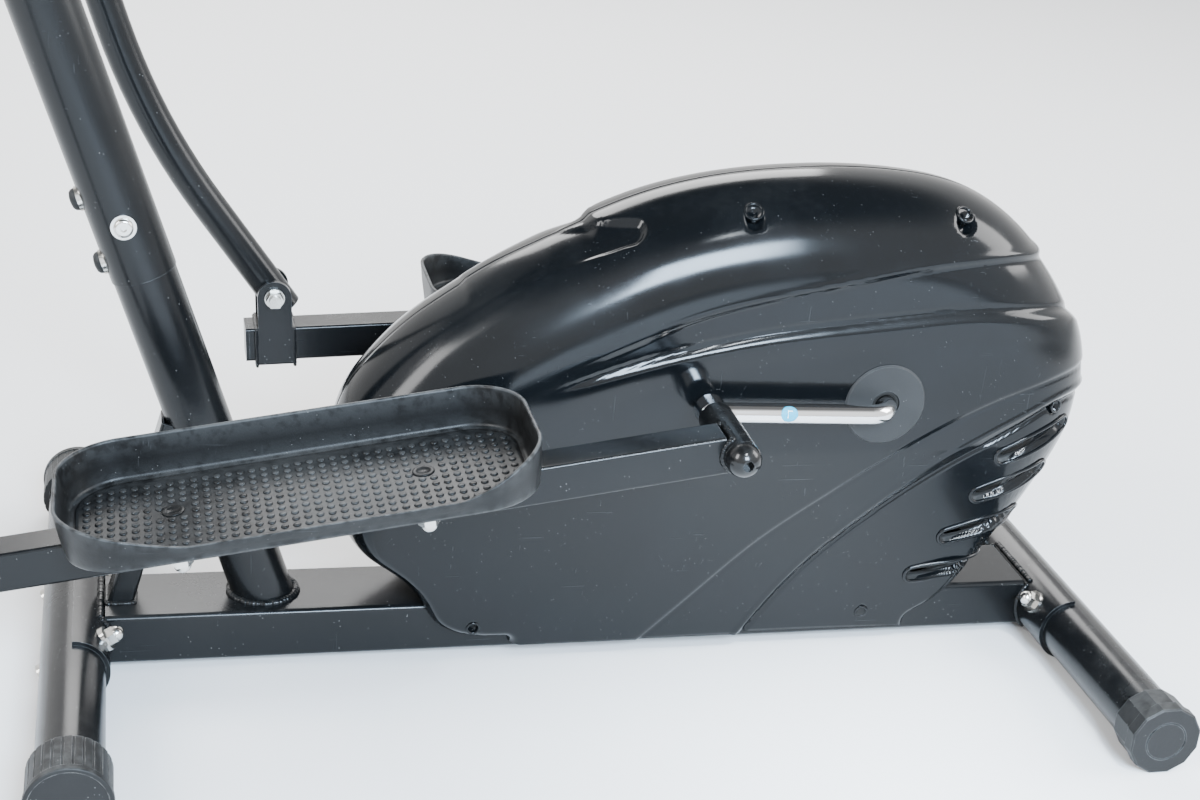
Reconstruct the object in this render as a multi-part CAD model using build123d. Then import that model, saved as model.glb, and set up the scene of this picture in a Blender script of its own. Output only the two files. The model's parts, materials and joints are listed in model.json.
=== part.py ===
from build123d import *
import math
import os

# Elliptical trainer, rear flywheel, in millimetres.
# Working frame: x = 0 on the front stabiliser's axis, +X towards the flywheel end, +Z up, y = 0 the
# machine's mid plane. The left side is -Y. Everything is shifted along X once, when it is written,
# so that the origin is under the middle of the machine.

LEFT, RIGHT = -1, 1

# ---- floor frame
STAB_R = 25.0
STAB_WALL = 2.0
STAB_HALF = 236.0
REAR_X = 840.0
FRONT_Z = 31.5
REAR_Z = 29.4
WHEEL_R = 31.5
CAP_APOTHEM = 29.4
END_Y = 261.0
BEAM_HALF = 36.5
BEAM_LOW = 8.3
BEAM_TOP = 51.0
BEAM_WALL = 2.5
SADDLE_WALL = 3.5
SADDLE_HALF = 86.0
NUT_Y = 60.0
NUT_TILT = 30.0
RIB_COUNT = 26

# ---- upright
UPRIGHT_FOOT_X = 150.1
UPRIGHT_LEAN = 18.45
JOINT_Z = 329.0
STUB_R = 24.3
POST_R = 25.2
POST_WALL = 2.6
POST_TOP_Z = 1128.0
SLEEVE_R = 22.3
POST_LENGTH = (POST_TOP_Z - JOINT_Z) / math.cos(math.radians(UPRIGHT_LEAN))
SIDE_BOLT = 46.0
HEAD_H = 3.6
FRONT_BOLTS = (17.0, 69.0)
SWING_TUBE_R = 14.0
BRACE_FOOT = (35.0, 0.0, 46.0)
BRACE_HEAD = (79.0, 0.0, 206.0)
BRACE_WIDE = 28.0
BRACE_THICK = 20.0
BRACE_WALL = 2.0

# ---- crank and linkage
CRANK_X = 640.4
CRANK_Z = 242.5
CRANK_RADIUS = 153.0
CRANK_TILT = 1.8
CRANK_BAR_R = 8.0
CRANK_BAR_Y = 95.0
CRANK_COVER_R = 34.5
SPLIT_Y = 105.0
SWING_X = -86.2
SWING_Z = 758.8
SWING_LENGTH = 563.7
ARM_Y = 157.0
ARM_HALF = 15.0
ARM_REACH = 625.5
CLEVIS_RISE = 44.0
LINK_R = 14.0
HUB_R = 17.0
AXLE_R = 8.0
FIT = 0.05
CLEVIS_BOLT_R = 5.0
CLEVIS_HEX = 13.0
BUSH_R = 13.7
EAR_HALF = 14.3
CLEVIS_HALF = 16.0

# ---- swing link and handlebar, in the swing arm's own frame: z from the pivot
LINK_CORNER = (-27.5, -387.3)
LINK_TILT = math.atan2(HUB_R + LINK_R - 0.5 - LINK_CORNER[0], -LINK_CORNER[1])
LINK_BEND = 560.0
LINK_TOP = 85.0
SLEEVE_FOOT = 45.0
SLEEVE_BOLTS = (LINK_TOP - 28, LINK_TOP - 10)
GRIP_R = 20.0
GRIP_LENGTH = 225.0

# ---- foot tray, in the pedal arm's own frame: x from the crank pin, z from the arm's top face
TRAY_NEAR_X = -151.0
TRAY_FAR_X = -494.0
TRAY_IN_Y = 88.0
TRAY_OUT_Y = 232.0
TRAY_CORNER = 46.0
TRAY_FLOOR = 5.0
TRAY_WALL_H = 32.0
TRAY_LIP_H = 9.0
TRAY_SKIN = 3.0
TRAY_BOLTS = (-235.0, -415.0)

# ---- housing
HOUSING_HALF = 73.0
HOUSING_FOOT_HALF = 45.0
HOUSING_WALL = 3.0
HOUSING_ROUND = 26.0
HOUSING_BASE_Z = 16.0
HOUSING_FULL_Z = 200.0
HOUSING_TOP = ((205, 165), (224, 250), (293, 314), (367, 361), (459, 399), (560, 419),
               (655, 419), (722, 402), (786, 353), (832, 285), (845, 218))
HOUSING_REAR = ((828, 155), (789, 82), (722, HOUSING_BASE_Z))
HOUSING_FRONT = ((330, HOUSING_BASE_Z), (284, 36), (256, 75), (220, 100))
HOUSING_MIDDLE = (525, 218)
HOUSING_REACH = (320, 202)
# each screw's x and z, and how far its head and its boss's foot are from the mid plane
HOUSING_SCREWS = ((519, 391, 36, 0.5), (697, 389, 36, 0.5), (799, 232, 52, 0.5), (234, 228, 50, 0.5),
                  (660, 33, 42, 37.2), (318, 36, 42, 37.2))
SCREW_BOSS_R = 6.5
SCREW_HEAD_R = 4.5
SCREW_R = 2.5

# ---- drive
FLY_X = 392.0
FLY_Z = 205.0
FLY_R = 115.0
DRIVE_GROOVE_R = 110.0
FLY_GROOVE_R = 17.0
BELT_Y = 18.0
PLATE_Y = 33.0
SHOE_R = 129.0
SHOE_PIVOT_ANGLE = 215.0
SHOE_TOP_ANGLE = 150.0
SPRING_X = 298.0
SPRING_TOP = 117.0

# ---- top of the machine
KNOB_Z = 935.0
BAR_Z = 1060.0
BAR_R = 12.5
BAR_HALF = 108.0
CONSOLE_TILT = 35.0
BUTTON_R = 7.0
BUTTONS = {"mode_button": -38.0, "set_button": 0.0, "reset_button": 38.0}
BUTTON_UP = -48.0
CONSOLE_RISE = 62.0
CONSOLE_SHIFT = 26.0


# ---------------------------------------------------------------- basic shapes

def rod(start, end, radius):
    """Round bar between two points."""
    a = Vector(*start)
    d = Vector(*end) - a
    frame = Plane(origin=a, z_dir=d)
    return frame.location * Cylinder(radius, d.length, align=(Align.CENTER, Align.CENTER, Align.MIN))


def pipe(start, end, outer, inner):
    """Round tube between two points."""
    return rod(start, end, outer) - rod(start, end, inner)


def across(x, z, y_a, y_b, radius):
    """Round bar along Y at a given x and z."""
    return rod((x, y_a, z), (x, y_b, z), radius)


def ring(x, z, y_a, y_b, outer, inner):
    """Round tube along Y at a given x and z."""
    return across(x, z, y_a, y_b, outer) - across(x, z, y_a, y_b, inner)


def pushed_left(face, depth):
    """Solid from a face in an XZ plane, grown towards -Y."""
    normal = face.faces()[0].normal_at()
    return extrude(face, depth if normal.Y < 0 else -depth)


def slab(points, y_a, y_b):
    """Straight-sided outline in the XZ plane, as thick as y_a to y_b."""
    low, high = min(y_a, y_b), max(y_a, y_b)
    wire = Polyline(*points, close=True)
    face = make_face(Plane.XZ.offset(-high) * wire)
    return pushed_left(face, high - low)


def block(x_a, x_b, y_a, y_b, z_a, z_b):
    """Box between two corners."""
    size = (abs(x_b - x_a), abs(y_b - y_a), abs(z_b - z_a))
    centre = ((x_a + x_b) / 2, (y_a + y_b) / 2, (z_a + z_b) / 2)
    return Pos(*centre) * Box(*size)


def bent_bar(points, radii, radius):
    """Round bar along straight runs joined by tangent arcs."""
    path = FilletPolyline(*points, radius=radii)
    start = Vector(*points[0])
    heading = Vector(*points[1]) - start
    section = Plane(origin=start, z_dir=heading) * Circle(radius)
    return sweep(section, path)


def bent_tube(points, radii, outer, inner):
    """Round tube along straight runs joined by tangent arcs."""
    return bent_bar(points, radii, outer) - bent_bar(points, radii, inner)


def hexagon(x, z, y_a, y_b, across_flats):
    """Hexagonal bar along Y."""
    low, high = min(y_a, y_b), max(y_a, y_b)
    shape = Plane.XZ.offset(-high) * Pos(x, z) * RegularPolygon(across_flats / 2, 6, major_radius=False)
    return extrude(shape, high - low)


def group(*solids):
    """Separate solids kept in one node."""
    parts = []
    for item in solids:
        parts.extend(item.solids())
    return Compound(parts)


def turned(x, z, angle):
    """Frame at (x, z), turned so that a positive angle lifts its +X end."""
    return Location((x, 0, z), (0, -angle, 0))


# ---------------------------------------------------------------- linkage geometry

def meet(a, radius_a, b, radius_b):
    """Lower crossing point of two circles in the XZ plane."""
    dx, dz = b[0] - a[0], b[1] - a[1]
    span = math.hypot(dx, dz)
    along = (radius_a**2 - radius_b**2 + span**2) / (2 * span)
    rise = math.sqrt(radius_a**2 - along**2)
    crossings = []
    for way in (-1, 1):
        x = a[0] + (along * dx + way * rise * dz) / span
        z = a[1] + (along * dz - way * rise * dx) / span
        crossings.append((x, z))
    return min(crossings, key=lambda point: point[1])


def crank_pin(side):
    """Crank pin of one side: the left one points forward, the right one back."""
    tilt = math.radians(CRANK_TILT)
    x = CRANK_X + side * CRANK_RADIUS * math.cos(tilt)
    z = CRANK_Z - side * CRANK_RADIUS * math.sin(tilt)
    return x, z


def clevis_pin(side):
    """Pin between the pedal arm and the swing link of one side."""
    arm_length = math.hypot(ARM_REACH, CLEVIS_RISE)
    return meet(crank_pin(side), arm_length, (SWING_X, SWING_Z), SWING_LENGTH)


def swing_angle(side):
    """Swing link's angle from vertical, positive with its foot towards the rear."""
    x, z = clevis_pin(side)
    return math.degrees(math.atan2(x - SWING_X, SWING_Z - z))


def pedal_pitch(side):
    """Pedal arm's pitch, positive with its rear end up."""
    pin, foot = crank_pin(side), clevis_pin(side)
    world = math.degrees(math.atan2(foot[1] - pin[1], foot[0] - pin[0])) % 360
    own = math.degrees(math.atan2(CLEVIS_RISE, -ARM_REACH))
    return world - own


def upright_x(z, offset=0.0):
    """x of the upright's axis at a height, moved rearwards by an offset."""
    return UPRIGHT_FOOT_X - math.tan(math.radians(UPRIGHT_LEAN)) * (z - BEAM_TOP) + offset


# ---------------------------------------------------------------- floor frame

def main_beam():
    outer = block(SADDLE_WALL + STAB_R - 4, REAR_X - SADDLE_WALL - STAB_R + 4,
                  -BEAM_HALF, BEAM_HALF, BEAM_LOW, BEAM_TOP)
    along_x = outer.edges().filter_by(Axis.X)
    outer = fillet(along_x, 4)
    inner = block(0, REAR_X, -BEAM_HALF + BEAM_WALL, BEAM_HALF - BEAM_WALL,
                  BEAM_LOW + BEAM_WALL, BEAM_TOP - BEAM_WALL)
    beam = outer - inner
    beam -= rod((UPRIGHT_FOOT_X + 2, 0, 40), (UPRIGHT_FOOT_X + 2, 0, 60), 19)
    beam -= rod((300, 10, 40), (300, 10, 60), 12)
    beam -= across(0, FRONT_Z, -SADDLE_HALF, SADDLE_HALF, STAB_R + SADDLE_WALL)
    beam -= across(REAR_X, REAR_Z, -SADDLE_HALF, SADDLE_HALF, STAB_R + SADDLE_WALL)
    return beam


def saddle(x, z, towards):
    """Half shell that holds a stabiliser tube, on its side facing the beam."""
    shell = ring(x, z, -SADDLE_HALF, SADDLE_HALF, STAB_R + SADDLE_WALL, STAB_R)
    keep = block(x, x + towards * 40, -SADDLE_HALF, SADDLE_HALF, z - 40, z + 40)
    shell &= keep
    for y in (-NUT_Y, NUT_Y):
        centre = Vector(x, y, z)
        shell -= rod(centre, centre + bolt_way(towards) * 40, 4.3)
    return shell


def saddles():
    return group(saddle(0, FRONT_Z, 1), saddle(REAR_X, REAR_Z, -1))


def stabiliser(x, z, towards):
    tube = ring(x, z, -STAB_HALF, STAB_HALF, STAB_R, STAB_R - STAB_WALL)
    for side in (LEFT, RIGHT):
        hub = ring(x, z, side * (STAB_HALF - 2), side * (STAB_HALF + 1), STAB_R - STAB_WALL, 4.9)
        spindle = across(x, z, side * (STAB_HALF - 2), side * (END_Y - 6), 6)
        tube += hub + spindle
    for y in (-NUT_Y, NUT_Y):
        centre, way = Vector(x, y, z), bolt_way(towards)
        tube -= rod(centre - way * 40, centre + way * 40, 4.3)
    return tube


def stabilisers():
    return group(stabiliser(0, FRONT_Z, 1), stabiliser(REAR_X, REAR_Z, -1))


def bolt_way(towards):
    """Direction of a stabiliser bolt, up towards the beam."""
    tilt = math.radians(NUT_TILT)
    return Vector(towards * math.cos(tilt), 0, math.sin(tilt))


def stabiliser_fastener(x, z, y, towards):
    """Bolt through a stabiliser, with a curved washer and a dome nut on its inner face."""
    centre, way = Vector(x, y, z), bolt_way(towards)
    seat_r = STAB_R + SADDLE_WALL
    bolt = rod(centre - way * (STAB_R + 2), centre + way * (seat_r + 10), 4)
    bolt += rod(centre - way * (STAB_R + 4), centre, 7.5) - across(x, z, y - 12, y + 12, STAB_R)
    bolt = bolt.solids().sort_by(SortBy.VOLUME)[-1]
    washer = rod(centre, centre + way * (seat_r + 2.4), 10)
    washer -= across(x, z, y - 15, y + 15, seat_r)
    washer -= rod(centre, centre + way * (seat_r + 10), 4.3)
    seat = Plane(origin=centre + way * (seat_r + 2.4), z_dir=way)
    nut = extrude(seat * RegularPolygon(6.5, 6, major_radius=False), 7)
    nut += Pos(*(centre + way * (seat_r + 9.4))) * Sphere(6)
    nut -= rod(centre, centre + way * (seat_r + 10), 4)
    return bolt, washer, nut


def stabiliser_fasteners():
    pieces = []
    for x, z, towards in ((0, FRONT_Z, 1), (REAR_X, REAR_Z, -1)):
        for y in (-NUT_Y, NUT_Y):
            pieces.extend(stabiliser_fastener(x, z, y, towards))
    return group(*pieces)


def transport_wheel(side):
    """Front end cap that rolls: broad ribs round a ring, and a thin flange with a dished face."""
    inner_y, flange_y = STAB_HALF - 18, END_Y - 6
    wheel = across(0, FRONT_Z, side * inner_y, side * flange_y, WHEEL_R - 1.0)
    for i in range(RIB_COUNT):
        angle = math.radians(360 * i / RIB_COUNT)
        x = (WHEEL_R - 0.6) * math.cos(angle)
        z = FRONT_Z + (WHEEL_R - 0.6) * math.sin(angle)
        wheel -= across(x, z, side * (inner_y - 1), side * flange_y, 1.0)
    disc = across(0, FRONT_Z, side * flange_y, side * END_Y, WHEEL_R)
    rim = disc.edges().filter_by(GeomType.CIRCLE).sort_by(Axis.Y)[-1 if side > 0 else 0]
    wheel += fillet(rim, 1.5)
    wheel -= across(0, FRONT_Z, side * (END_Y - 1.6), side * (END_Y + 1), WHEEL_R - 3.4)
    wheel -= across(0, FRONT_Z, side * (inner_y - 1), side * (STAB_HALF + 1.5), STAB_R + 0.4)
    wheel -= across(0, FRONT_Z, side * STAB_HALF, side * (END_Y - 5), 6 + FIT)
    return wheel


def level_cap(side):
    """Rear end cap, twelve-sided, that turns on the tube to level the machine."""
    inner_y, flange_y = STAB_HALF - 8, END_Y - 11
    cap = None
    for apothem, y_a, y_b in ((CAP_APOTHEM - 1.6, inner_y, flange_y), (CAP_APOTHEM, flange_y, END_Y)):
        outline = RegularPolygon(apothem, 12, major_radius=False, rotation=15)
        low, high = min(side * y_a, side * y_b), max(side * y_a, side * y_b)
        ring_part = extrude(Plane.XZ.offset(-high) * Pos(REAR_X, REAR_Z) * outline, high - low)
        cap = ring_part if cap is None else cap + ring_part
    end = cap.faces().sort_by(Axis.Y)[-1 if side > 0 else 0]
    cap = chamfer(end.edges(), 1.2)
    groove = ring(REAR_X, REAR_Z, side * (END_Y - 0.8), side * (END_Y + 1), 17.4, 16)
    cap -= groove
    cap -= across(REAR_X, REAR_Z, side * (inner_y - 1), side * (STAB_HALF + 1.5), STAB_R + 0.4)
    cap -= across(REAR_X, REAR_Z, side * STAB_HALF, side * (END_Y - 5), 6 + FIT)
    return cap


# ---------------------------------------------------------------- upright

def on_post(along, offset=0.0, y=0.0):
    """Point on the upright, along its axis from the joint, moved to its rear side by an offset."""
    lean = math.radians(UPRIGHT_LEAN)
    x = upright_x(JOINT_Z) - along * math.sin(lean) + offset * math.cos(lean)
    z = JOINT_Z + along * math.cos(lean) + offset * math.sin(lean)
    return x, y, z


def upright_stub():
    stub = rod(on_post(-330), on_post(0), STUB_R)
    stub -= block(0, 300, -60, 60, -60, BEAM_TOP)
    stub -= rod(on_post(-331), on_post(1), STUB_R - 2)
    sleeve = pipe(on_post(-60), on_post(150), SLEEVE_R, SLEEVE_R - 2.2)
    stub = stub + sleeve
    stub -= rod(on_post(SIDE_BOLT, 0, -40), on_post(SIDE_BOLT, 0, 40), 4.3)
    for along in FRONT_BOLTS:
        stub -= rod(on_post(along, -40), on_post(along, 0), 4.3)
    return stub


def upright_brace():
    foot, head = Vector(*BRACE_FOOT), Vector(*BRACE_HEAD)
    frame = Plane(origin=foot, x_dir=(0, 1, 0), z_dir=head - foot)
    outer = extrude(frame * RectangleRounded(BRACE_WIDE, BRACE_THICK, 3), (head - foot).length)
    bore = Rectangle(BRACE_WIDE - 2 * BRACE_WALL, BRACE_THICK - 2 * BRACE_WALL)
    inner = extrude(frame * bore, (head - foot).length)
    brace = outer - inner
    brace -= block(0, 300, -60, 60, -60, BEAM_TOP)
    brace -= rod(on_post(-330), on_post(0), STUB_R)
    return brace.solids().sort_by(SortBy.VOLUME)[-1]


def upright_post():
    """Post with the cross tube of the swing arms welded through it."""
    post = pipe(on_post(0), on_post(POST_LENGTH), POST_R, POST_R - POST_WALL)
    post -= across(SWING_X, SWING_Z, -60, 60, SWING_TUBE_R)
    post -= rod(on_post(SIDE_BOLT, 0, -40), on_post(SIDE_BOLT, 0, 40), 4.3)
    for along in FRONT_BOLTS:
        post -= rod(on_post(along, -40), on_post(along, 0), 4.3)
    knob_axis = knob_frame(0)
    post -= rod(knob_axis.origin, knob_axis.origin + knob_axis.z_dir * 40, 6)
    cross_tube = ring(SWING_X, SWING_Z, -134.6, 134.6, SWING_TUBE_R, AXLE_R)
    return post + cross_tube


def post_fastener(outside, inside):
    """Button-head bolt with a washer curved to the post."""
    a, b = Vector(*outside), Vector(*inside)
    step = (b - a).normalized()
    shank = rod(a, b, 4)
    washer = rod(a, a + step * 8, 9.5) - rod(on_post(0), on_post(200), POST_R) - rod(a, b, 4.3)
    head = rod(a - step * HEAD_H, a, 7.2)
    rims = head.edges().filter_by(GeomType.CIRCLE).sort_by(lambda e: (e.center() - b).length)
    head = fillet(rims[-1], 2.4)
    head -= extrude(Plane(origin=a - step * HEAD_H, z_dir=step) * RegularPolygon(2.6, 6), 2.2)
    return head + shank, washer.solids().sort_by(lambda s: (s.center() - a).length)[0]


def post_fasteners():
    pieces = []
    pieces += post_fastener(on_post(SIDE_BOLT, 0, -POST_R - 1.6), on_post(SIDE_BOLT, 0, 26))
    for along in FRONT_BOLTS:
        pieces += post_fastener(on_post(along, -POST_R - 1.6), on_post(along, -14))
    return group(*pieces)


def swing_axle():
    pieces = [across(SWING_X, SWING_Z, -188, 188, AXLE_R)]
    for side in (LEFT, RIGHT):
        washer = ring(SWING_X, SWING_Z, side * 179.4, side * 181.4, 15, AXLE_R)
        nut = hexagon(SWING_X, SWING_Z, side * 181.4, side * 191, 24)
        dome = Pos(SWING_X, side * 190, SWING_Z) * Sphere(10)
        nut = (nut + dome) - across(SWING_X, SWING_Z, side * 178, side * 188, AXLE_R)
        pieces += [washer, nut]
    return group(*pieces)


# ---------------------------------------------------------------- swing arms

def link_line(z):
    """x of the straight upper part of the swing link, in the swing arm's frame."""
    return LINK_CORNER[0] + math.tan(LINK_TILT) * (z - LINK_CORNER[1])


def swing_frame(side):
    return turned(SWING_X, SWING_Z, swing_angle(side))


def swing_link(side):
    y = side * ARM_Y
    foot = Vector(0, y, -SWING_LENGTH)
    corner = Vector(LINK_CORNER[0], y, LINK_CORNER[1])
    toe = foot + (foot - corner).normalized() * 18
    top = Vector(link_line(LINK_TOP), y, LINK_TOP)
    points = [tuple(toe), tuple(corner), tuple(top)]
    link = bent_tube(points, LINK_BEND, LINK_R, LINK_R - 2)
    link += rod(toe, toe + (corner - toe).normalized() * 3, LINK_R)
    link -= across(0, -SWING_LENGTH, y - 20, y + 20, 9)
    eye_half = LINK_R + 0.4
    link += ring(0, -SWING_LENGTH, y - eye_half, y + eye_half, 9, CLEVIS_BOLT_R + FIT)
    hub = across(0, 0, y - 20.5, y + 20.5, HUB_R)
    link = (link + hub) - across(0, 0, y - 25, y + 25, 12)
    for along in SLEEVE_BOLTS:
        link -= rod((link_line(along), y - 30, along), (link_line(along), y + 30, along), 3.2)
    return swing_frame(side) * link


def swing_bushes(side):
    pieces = []
    for end in (-1, 1):
        y_in, y_out = side * ARM_Y + end * 6, side * ARM_Y + end * 22
        y_rim = side * ARM_Y + end * 20.5
        bush = across(0, 0, y_in, y_out, 12) + across(0, 0, y_rim, y_out, 16)
        bush -= across(0, 0, y_in, y_out, AXLE_R + FIT)
        pieces.append(bush)
    return swing_frame(side) * group(*pieces)


def handlebar_points(side):
    """Corners of the swing handlebar's centre line, from its sleeve up to its end."""
    return [(link_line(SLEEVE_FOOT), side * ARM_Y, SLEEVE_FOOT),
            (link_line(185), side * ARM_Y, 185),
            (link_line(330) + 12, side * 206, 330),
            (135, side * 212, 500),
            (300, side * 212, 705)]


def handlebar(side):
    bar = bent_tube(handlebar_points(side), [120, 120, 90], 16, LINK_R + 0.02)
    for along in SLEEVE_BOLTS:
        y = side * ARM_Y
        bar -= rod((link_line(along), y - 30, along), (link_line(along), y + 30, along), 3.2)
    return swing_frame(side) * bar


def hand_grip(side):
    points = handlebar_points(side)
    end, before = Vector(*points[-1]), Vector(*points[-2])
    back = (before - end).normalized()
    sleeve = rod(end + back * GRIP_LENGTH, end, GRIP_R)
    outline = sleeve.edges().filter_by(GeomType.CIRCLE).sort_by(lambda e: (e.center() - end).length)
    sleeve = fillet(outline[-1], 3)
    dome = rod(end, end - back * 9, GRIP_R)
    tips = dome.edges().filter_by(GeomType.CIRCLE).sort_by(lambda e: (e.center() - end).length)
    sleeve += fillet(tips[-1], 8)
    sleeve -= rod(end + back * (GRIP_LENGTH + 5), end, 16)
    return swing_frame(side) * sleeve


# ---------------------------------------------------------------- pedal arms

def pedal_frame(side):
    x, z = crank_pin(side)
    return turned(x, z, pedal_pitch(side))


def clevis(y):
    """Two ears on a sleeve that wraps the front of the pedal arm."""
    ear_in, ear_out, inside = ARM_HALF + 0.2, ARM_HALF + 4.2, ARM_HALF - 2
    low, high = -ARM_REACH - CLEVIS_HALF, -ARM_REACH + CLEVIS_HALF
    sleeve = block(low, high, y - ear_out, y + ear_out, -ARM_HALF - 2.5, ARM_HALF + 2)
    sleeve = fillet(sleeve.edges().filter_by(Axis.X).group_by(Axis.Z)[0], 2.2)
    sleeve -= block(low, high, y - inside, y + inside, -inside, inside)
    for end in (-1, 1):
        y_in, y_out = y + end * ear_in, y + end * ear_out
        ear = block(-ARM_REACH - EAR_HALF, -ARM_REACH + EAR_HALF, y_in, y_out, ARM_HALF, CLEVIS_RISE)
        ear += across(-ARM_REACH, CLEVIS_RISE, y_in, y_out, EAR_HALF)
        ear -= across(-ARM_REACH, CLEVIS_RISE, y_in, y_out, CLEVIS_BOLT_R)
        sleeve += ear
    return sleeve


def pedal_arm(side):
    """Square tube with the pin bush and the clevis welded on."""
    y = side * ARM_Y
    front_x, rear_x = -ARM_REACH - 22, -10
    arm = block(front_x, rear_x, y - ARM_HALF, y + ARM_HALF, -ARM_HALF, ARM_HALF)
    arm = fillet(arm.edges().filter_by(Axis.X), 2.5)
    inside = ARM_HALF - 2
    arm -= block(front_x, rear_x, y - inside, y + inside, -inside, inside)
    bush = across(0, 0, side * (SPLIT_Y + 0.8), side * (ARM_Y + 21), BUSH_R)
    arm = arm + bush
    arm -= across(0, 0, side * SPLIT_Y, side * (ARM_Y + 25), 9)
    arm += clevis(y)
    for x in TRAY_BOLTS:
        arm -= rod((x, y, -30), (x, y, 30), 4.2)
    return pedal_frame(side) * group(arm, arm_plug(side))


def arm_plug(side):
    """Plastic plug in the front end of the pedal arm."""
    y = side * ARM_Y
    front_x = -ARM_REACH - 22
    inside = ARM_HALF - 2
    plug = block(front_x - 3, front_x, y - ARM_HALF, y + ARM_HALF, -ARM_HALF, ARM_HALF)
    plug = fillet(plug.edges().filter_by(Axis.X), 2.5)
    plug += block(front_x, front_x + 12, y - inside, y + inside, -inside, inside)
    return plug


def pedal_pin(side):
    """Pin in the pedal arm's bush, with its domed hex-socket cap."""
    y_in, y_out = SPLIT_Y + 0.8, ARM_Y + 21
    pin = across(0, 0, side * y_in, side * (y_out + 1), 9)
    cap = across(0, 0, side * y_out, side * (y_out + 3), BUSH_R)
    dome = Pos(0, side * (y_out + 3), 0) * Sphere(BUSH_R)
    dome &= block(-20, 20, side * (y_out + 3), side * (y_out + 20), -20, 20)
    cap += dome
    cap -= hexagon(0, 0, side * (y_out + 10), side * (y_out + 20), 8)
    return pedal_frame(side) * (pin + cap)


def foot_tray(side):
    z_low = ARM_HALF + TRAY_FLOOR - 4
    z_high = ARM_HALF + TRAY_FLOOR + TRAY_WALL_H
    y_mid = side * (TRAY_IN_Y + TRAY_OUT_Y) / 2
    x_mid = (TRAY_NEAR_X + TRAY_FAR_X) / 2
    width, length = TRAY_OUT_Y - TRAY_IN_Y, TRAY_NEAR_X - TRAY_FAR_X
    plan = Plane(origin=(x_mid, y_mid, z_low)) * RectangleRounded(length, width, TRAY_CORNER)
    tray = extrude(plan, z_high - z_low)
    plan_in = Plane(origin=(x_mid, y_mid, z_low + 4))
    plan_in *= RectangleRounded(length - 2 * TRAY_SKIN, width - 2 * TRAY_SKIN, TRAY_CORNER - TRAY_SKIN)
    tray -= extrude(plan_in, z_high - z_low)
    rim = ARM_HALF + TRAY_FLOOR + TRAY_LIP_H
    shape = [(TRAY_FAR_X + 2, z_high + 1), (TRAY_FAR_X + 88, rim), (TRAY_NEAR_X - 66, rim),
             (TRAY_NEAR_X - 2, z_high + 1)]
    tray -= slab(shape, side * (y_mid * side + 22), side * (TRAY_OUT_Y + 5))
    boss = block(TRAY_FAR_X + 20, TRAY_NEAR_X - 20, side * (ARM_Y - 14), side * (ARM_Y + 14),
                 ARM_HALF, z_low)
    tray += boss
    for x in TRAY_BOLTS:
        tray -= rod((x, side * ARM_Y, 0), (x, side * ARM_Y, 40), 4.2)
        tray -= rod((x, side * ARM_Y, z_low + 2), (x, side * ARM_Y, 40), 7.4)
    return pedal_frame(side) * tray


def pedal_fasteners(side):
    """Clevis bolt with its nut, and the two tray bolts with dome nuts."""
    y = side * ARM_Y
    ear_out = ARM_HALF + 4.2
    bolt = across(-ARM_REACH, CLEVIS_RISE, y + side * ear_out, y - side * (ear_out + 11), CLEVIS_BOLT_R)
    bolt += hexagon(-ARM_REACH, CLEVIS_RISE, y + side * ear_out, y + side * (ear_out + 6), CLEVIS_HEX)
    nut = hexagon(-ARM_REACH, CLEVIS_RISE, y - side * ear_out, y - side * (ear_out + 8), CLEVIS_HEX)
    nut += across(-ARM_REACH, CLEVIS_RISE, y - side * ear_out, y - side * (ear_out + 2), 8.5)
    nut -= across(-ARM_REACH, CLEVIS_RISE, y, y - side * 40, CLEVIS_BOLT_R)
    pieces = [bolt, nut]
    floor = ARM_HALF + TRAY_FLOOR
    for x in TRAY_BOLTS:
        tray_bolt = rod((x, y, floor - 2), (x, y, -ARM_HALF - 9), 4)
        tray_bolt += rod((x, y, floor - 2), (x, y, floor + 0.2), 7)
        seat = Plane(origin=(x, y, -ARM_HALF), z_dir=(0, 0, -1))
        dome = extrude(seat * RegularPolygon(7.2, 6, major_radius=False), 8)
        dome += Pos(x, y, -ARM_HALF - 8) * Sphere(6.6)
        dome -= rod((x, y, 0), (x, y, -ARM_HALF - 9), 4)
        pieces += [tray_bolt, dome]
    return pedal_frame(side) * group(*pieces)


# ---------------------------------------------------------------- crank and drive

def crank():
    """One bent bar: the axle, both crank arms and their forged eyes."""
    (left_x, left_z), (right_x, right_z) = crank_pin(LEFT), crank_pin(RIGHT)
    points = [(left_x, -CRANK_BAR_Y, left_z), (CRANK_X, -CRANK_BAR_Y, CRANK_Z),
              (CRANK_X, CRANK_BAR_Y, CRANK_Z), (right_x, CRANK_BAR_Y, right_z)]
    bar = bent_bar(points, 20, CRANK_BAR_R)
    for side, x, z in ((LEFT, left_x, left_z), (RIGHT, right_x, right_z)):
        eye = across(x, z, side * (CRANK_BAR_Y - 9), side * (SPLIT_Y - 0.5), 12.5)
        bar += chamfer(eye.edges().filter_by(GeomType.CIRCLE), 1.2)
    return bar


def belt_wheel(x, z, groove_r, flange, bore):
    """Belt wheel with a flat groove between two flanges."""
    wheel = across(x, z, BELT_Y - 7, BELT_Y + 7, groove_r)
    for end in (-1, 1):
        wheel += across(x, z, BELT_Y + end * 5.5, BELT_Y + end * 7, groove_r + flange)
    return wheel - across(x, z, BELT_Y - 8, BELT_Y + 8, bore)


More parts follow.
